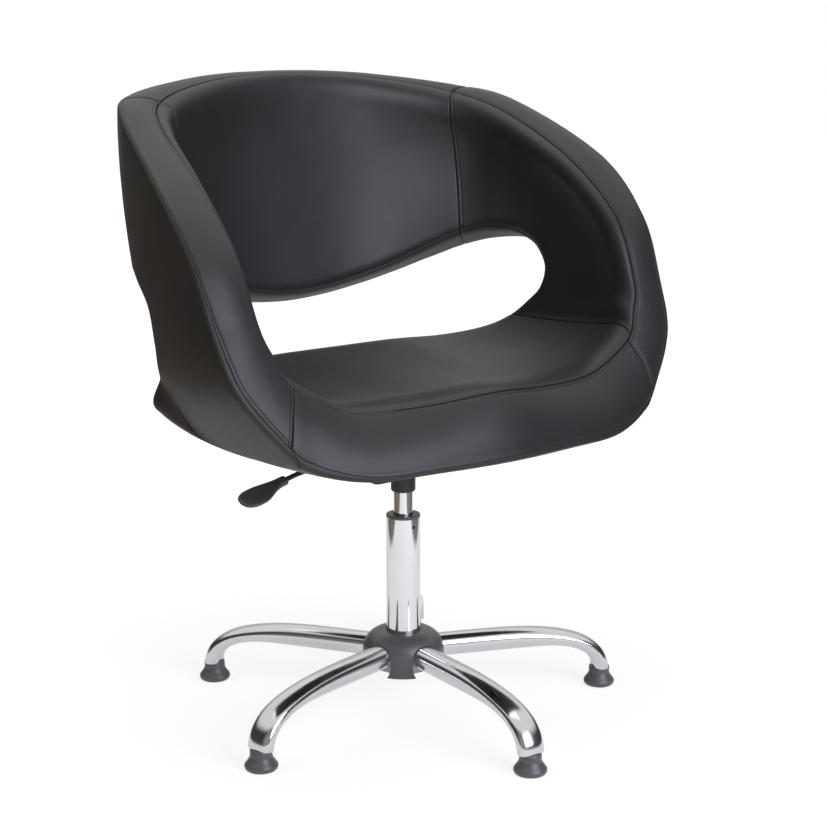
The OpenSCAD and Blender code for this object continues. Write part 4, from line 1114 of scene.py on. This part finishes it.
class CHAIR_OT_height_lever(bpy.types.Operator):
    """Makes the bent rod of the height lever and its paddle grip"""

    bl_idname = "chair.height_lever"
    bl_label = "Height lever"

    def execute(self, context):
        pivot = np.array([LEVER_PIVOT_X, 0.0, LEVER_Z])
        run = LEVER_PIVOT_X - LEVER_BEND_X
        bend = np.array([LEVER_BEND_X, 0.0, LEVER_Z - run * math.tan(LEVER_DROOP)])
        out = np.array([-math.cos(GRIP_DROOP), 0.0, -math.sin(GRIP_DROOP)])
        inner = np.array([math.cos(LEVER_DROOP), 0.0, math.sin(LEVER_DROOP)])
        path = [np.array([x, 0.0, LEVER_Z]) for x in (6.0, -30.0)] + [pivot + (PIVOT_BEND, 0, 0)]
        path += [pivot - inner * s for s in np.linspace(PIVOT_BEND, run - GRIP_BEND, 8)]
        path += [(bend + inner * GRIP_BEND) * (1 - f) ** 2 + 2 * bend * f * (1 - f)
                 + (bend + out * GRIP_BEND) * f * f for f in np.linspace(0, 1, 9)]
        path.append(bend + out * ROD_IN_GRIP)
        rod = tube_along("lever_bar", path, LEVER_R)
        settle(rod, "height_lever", "powder", "lever_rod")
        settle(paddle_grip("lever_paddle", bend, out), "height_lever", "grip", "lever_grip")
        return {"FINISHED"}


def paddle_grip(name, bend, out):
    """A flat paddle that widens from a round root and has its belly on the front side."""
    end = (LEVER_BEND_X - GRIP_END_X) / math.cos(GRIP_DROOP)
    steps, sides = 44, 40
    side = np.array([0.0, -1.0, 0.0])
    up = np.cross(out, side)
    wide = side * math.cos(GRIP_ROLL) + up * math.sin(GRIP_ROLL)
    thick = np.cross(out, wide)
    rings = []
    for s in np.linspace(0, GRIP_L, steps + 1):
        past = max(0.0, s - GRIP_L + GRIP_TIP_L) / GRIP_TIP_L
        cap = math.sqrt(max(0.0, 1 - past ** 2))
        root = math.sqrt(1 - max(0.0, 1 - s / GRIP_ROOT_L) ** 2)
        grow = 0.5 - 0.5 * math.cos(math.pi * min(1.0, max(0.0, (s - 10) / 44)))
        half_w = (GRIP_ROOT_HALF_W + GRIP_WIDENS * grow) * (0.16 + 0.84 * cap)
        half_t = (GRIP_ROOT_HALF_T - GRIP_THINS * grow) * (0.25 + 0.75 * cap)
        across, through = oval(half_w, half_t, GRIP_POWER, sides)
        ring = across[:, None] * wide + through[:, None] * thick
        centre = bend + out * (end - GRIP_L + s) + wide * GRIP_BELLY * grow
        rings.append(centre + ring * (0.6 + 0.4 * root))
    first = bend + out * (end - GRIP_L)
    last = bend + out * end + wide * GRIP_BELLY
    grid = np.concatenate([[np.repeat(first[None], sides, 0)], rings,
                           [np.repeat(last[None], sides, 0)]])
    faces = grid_faces(len(grid), sides, close=True)
    return rounded(mesh_object(name, grid.reshape(-1, 3), faces))


class CHAIR_OT_hidden_parts(bpy.types.Operator):
    """Gives the CAD solids that stay in the picture or inside the chair their finishes"""

    bl_idname = "chair.hidden_parts"
    bl_label = "Fittings and inner parts"

    def execute(self, context):
        finishes = {
            "nylon": ("arm_plugs",),
            "rubber": ("rod_buffer", "cylinder_seal"),
            "powder": ("lift_housing", "seat_plate", "hoop_clips"),
            "zinc": ("glide_stems", "hub_block", "thrust_bearing", "piston_rod", "rod_clip",
                     "piston", "valve_body", "valve_pin", "seat_screws", "screw_washers",
                     "lever_pin", "board_nuts", "hoop_tube"),
            "plywood": ("seat_board",),
        }
        for finish, nodes in finishes.items():
            for node in nodes:
                mesh = NODES[node].data
                mesh.materials.clear()
                mesh.materials.append(finish_of(finish))
        return {"FINISHED"}


# Stage --------------------------------------------------------------------------------------

FLOOR_HALF = 9000
# The camera as it was solved from the photograph, in metres and radians, for a picture of
# 828 by 818 px: its place, how far it is turned about the vertical and how far it looks down.
CAMERA_PLACE = (-1.6143, -2.0662, 1.0139)
CAMERA_TURN, CAMERA_ASIDE, CAMERA_DOWN = math.radians(-38), -0.006, 0.2121
SENSOR_W, LENS = 36, 80.98
TO_CAMERA = (-0.616, -0.788, 0.0)
TO_SIDE = (0.788, -0.616, 0.0)
# Lamps: place and target in metres, turned with the camera, size in metres, power in watts,
# colour, and whether metal and gloss mirror them.
LAMPS = (
    ("Front softbox", (2.2, -2.5, 1.7), (0.0, 0.0, 0.6), (2.6, 2.2), 104, "#eef2ff", True),
    ("Top softbox", (-0.1, 0.3, 3.0), (0.0, 0.0, 0.5), (2.4, 1.8), 12, "#fff8ee", True),
    ("Side fill", (-2.6, -1.2, 1.5), (0.2, 0.0, 0.65), (2.0, 1.8), 21, "#fffaf4", False),
)


class CHAIR_OT_stage(bpy.types.Operator):
    """Sets the floor, the soft lights, the white surroundings and the camera"""

    bl_idname = "chair.stage"
    bl_label = "Stage and camera"

    def execute(self, context):
        scene = context.scene
        scene.view_settings.view_transform = "Standard"
        corners = [(x * FLOOR_HALF, y * FLOOR_HALF, 0)
                   for x, y in ((-1, -1), (1, -1), (1, 1), (-1, 1))]
        floor = mesh_object("studio_floor", corners, [(0, 1, 2, 3)])
        floor.data.materials.append(floor_material())
        world = bpy.data.worlds.new("White studio")
        scene.world = world
        world.use_nodes = True
        studio_world(world.node_tree)
        for name, place, target, size, power, colour, mirrored in LAMPS:
            data = bpy.data.lights.new(name, "AREA")
            data.shape = "RECTANGLE"
            data.size, data.size_y = size
            data.energy = power
            data.color = linear(colour)[:3]
            lamp = bpy.data.objects.new(name, data)
            place, target = turned_about_axis(np.array([place, target]),
                                              math.degrees(CAMERA_TURN))
            lamp.location = place
            lamp.rotation_euler = Vector(target - place).to_track_quat("-Z", "Y").to_euler()
            lamp.visible_glossy = mirrored
            scene.collection.objects.link(lamp)
        data = bpy.data.cameras.new("Camera")
        data.sensor_width = SENSOR_W
        data.lens = LENS
        camera = bpy.data.objects.new("Camera", data)
        camera.location = CAMERA_PLACE
        camera.rotation_euler = (math.pi / 2 - CAMERA_DOWN, 0, CAMERA_TURN + CAMERA_ASIDE)
        scene.collection.objects.link(camera)
        scene.camera = camera
        return {"FINISHED"}


def floor_material():
    """White seamless paper. The camera sees it nearly white with the chair's shadow left on it,
    and the metal sees where the roll of paper ends at both sides."""
    material, tree, shader, place = new_material("White seamless paper")
    path = add(tree, "ShaderNodeLightPath")
    fibre = add(tree, "ShaderNodeTexNoise", {"Vector": place, "Scale": 300.0, "Detail": 3.0})
    paper = add(tree, "ShaderNodeValToRGB", {"Fac": fibre.outputs["Fac"]}, [
        (0.2, linear("#e4e4e4")), (0.8, linear("#ececec"))])
    side = add(tree, "ShaderNodeVectorMath", {0: place, 1: TO_SIDE},
               operation="DOT_PRODUCT")
    off = add(tree, "ShaderNodeMath", {0: side.outputs["Value"]}, operation="ABSOLUTE")
    beyond = add(tree, "ShaderNodeMapRange", {
        "Value": off.outputs[0], "From Min": 0.82, "From Max": 0.92,
        "To Min": 0.0, "To Max": 1.0}, interpolation_type="SMOOTHSTEP")
    dark = add(tree, "ShaderNodeMath", {
        0: beyond.outputs["Result"], 1: path.outputs["Is Glossy Ray"]}, operation="MULTIPLY")
    seen = add(tree, "ShaderNodeMix", {
        "Factor": dark.outputs[0], "A": paper.outputs["Color"],
        "B": linear("#9a9188")}, data_type="RGBA")
    plain = add(tree, "ShaderNodeMix", {
        "Factor": path.outputs["Is Camera Ray"], "A": seen.outputs["Result"],
        "B": linear("#949494")}, data_type="RGBA")
    far = add(tree, "ShaderNodeVectorMath", {0: place}, operation="LENGTH")
    fade = add(tree, "ShaderNodeMapRange", {
        "Value": far.outputs["Value"], "From Min": 0.3, "From Max": 1.3,
        "To Min": 0.82, "To Max": 1.0}, interpolation_type="SMOOTHSTEP")
    glow = add(tree, "ShaderNodeMath", {
        0: path.outputs["Is Camera Ray"], 1: fade.outputs["Result"]}, operation="MULTIPLY")
    lit = add(tree, "ShaderNodeMath", {
        0: path.outputs["Is Glossy Ray"], 1: 0.45, 2: glow.outputs[0]}, operation="MULTIPLY_ADD")
    clean = add(tree, "ShaderNodeMath", {0: 1.0, 1: dark.outputs[0]}, operation="SUBTRACT")
    strength = add(tree, "ShaderNodeMath", {0: lit.outputs[0], 1: clean.outputs[0]},
                   operation="MULTIPLY")
    give(tree, shader, {
        "Base Color": plain.outputs["Result"], "Roughness": 0.9, "Specular IOR Level": 0.1,
        "Emission Color": (1, 1, 1, 1), "Emission Strength": strength.outputs[0]})
    return material


def studio_world(tree):
    """White surroundings for the camera, and a plain room for the light: white overhead and
    behind the chair, dim behind the camera, and dark low at the sides, as a studio is beyond
    its paper."""
    tree.nodes.clear()
    output = add(tree, "ShaderNodeOutputWorld")
    path = add(tree, "ShaderNodeLightPath")
    place = add(tree, "ShaderNodeTexCoord").outputs["Generated"]
    parts = add(tree, "ShaderNodeSeparateXYZ", {"Vector": place})
    front = add(tree, "ShaderNodeVectorMath", {0: place, 1: TO_CAMERA},
                operation="DOT_PRODUCT")
    over = add(tree, "ShaderNodeMath", {
        0: front.outputs["Value"], 1: -0.25, 2: parts.outputs["Z"]}, operation="MULTIPLY_ADD")
    height = add(tree, "ShaderNodeMapRange", {
        "Value": over.outputs[0], "From Min": 0.42, "From Max": 0.7,
        "To Min": 0.0, "To Max": 1.0}, interpolation_type="SMOOTHSTEP")
    ahead = add(tree, "ShaderNodeMapRange", {
        "Value": front.outputs["Value"], "From Min": 0.55, "From Max": 0.9,
        "To Min": 0.0, "To Max": 1.0}, interpolation_type="SMOOTHSTEP")
    behind = add(tree, "ShaderNodeMapRange", {
        "Value": front.outputs["Value"], "From Min": -0.8, "From Max": -0.93,
        "To Min": 0.0, "To Max": 0.6}, interpolation_type="SMOOTHSTEP")
    dim = add(tree, "ShaderNodeMath", {0: ahead.outputs["Result"], 1: 0.3}, operation="MULTIPLY")
    along = add(tree, "ShaderNodeMath", {0: dim.outputs[0], 1: behind.outputs["Result"]},
                operation="MAXIMUM")
    bright = add(tree, "ShaderNodeMath", {0: height.outputs["Result"], 1: along.outputs[0]},
                 operation="MAXIMUM")
    room = add(tree, "ShaderNodeMapRange", {
        "Value": bright.outputs[0], "To Min": 0.06, "To Max": 1.0})
    reflected = add(tree, "ShaderNodeBackground", {
        "Color": linear("#fbfaf8"), "Strength": room.outputs["Result"]})
    even = add(tree, "ShaderNodeBackground", {"Color": linear("#fff6ec"), "Strength": 0.23})
    white = add(tree, "ShaderNodeBackground", {"Color": (1, 1, 1, 1), "Strength": 1.0})
    light = add(tree, "ShaderNodeMixShader", {
        "Fac": path.outputs["Is Glossy Ray"], 1: even.outputs[0], 2: reflected.outputs[0]})
    seen = add(tree, "ShaderNodeMath", {
        0: path.outputs["Is Camera Ray"], 1: path.outputs["Is Transmission Ray"]},
        operation="MAXIMUM")
    mixed = add(tree, "ShaderNodeMixShader", {
        "Fac": seen.outputs[0], 1: light.outputs[0], 2: white.outputs[0]})
    tree.links.new(mixed.outputs[0], output.inputs["Surface"])


# Panel, registration and run ----------------------------------------------------------------

OPERATORS = (
    CHAIR_OT_stage, CHAIR_OT_upholstery, CHAIR_OT_star_arms, CHAIR_OT_glides,
    CHAIR_OT_hub_and_column, CHAIR_OT_gas_lift, CHAIR_OT_height_lever, CHAIR_OT_hidden_parts,
)


class CHAIR_PT_sidebar(bpy.types.Panel):
    """Lists the chair's sizes, colours and steps"""

    bl_idname = "CHAIR_PT_sidebar"
    bl_label = "Threading chair"
    bl_space_type = "VIEW_3D"
    bl_region_type = "UI"
    bl_category = "Chair"

    def draw(self, context):
        for group in (context.scene.chair_sizes, context.scene.chair_colours):
            box = self.layout.box()
            for name in group.bl_rna.properties.keys():
                if name not in ("rna_type", "name"):
                    box.prop(group, name)
        for operator in OPERATORS:
            self.layout.operator(operator.bl_idname)


CLASSES = (ChairSizes, ChairColours, *OPERATORS, CHAIR_PT_sidebar)


def register():
    for cls in CLASSES:
        bpy.utils.register_class(cls)
    bpy.types.Scene.chair_sizes = PointerProperty(type=ChairSizes)
    bpy.types.Scene.chair_colours = PointerProperty(type=ChairColours)


def unregister():
    del bpy.types.Scene.chair_colours
    del bpy.types.Scene.chair_sizes
    for cls in reversed(CLASSES):
        bpy.utils.unregister_class(cls)


def main():
    register()
    for operator in OPERATORS:
        group, name = operator.bl_idname.split(".")
        getattr(getattr(bpy.ops, group), name)()


if __name__ == "__main__":
    main()
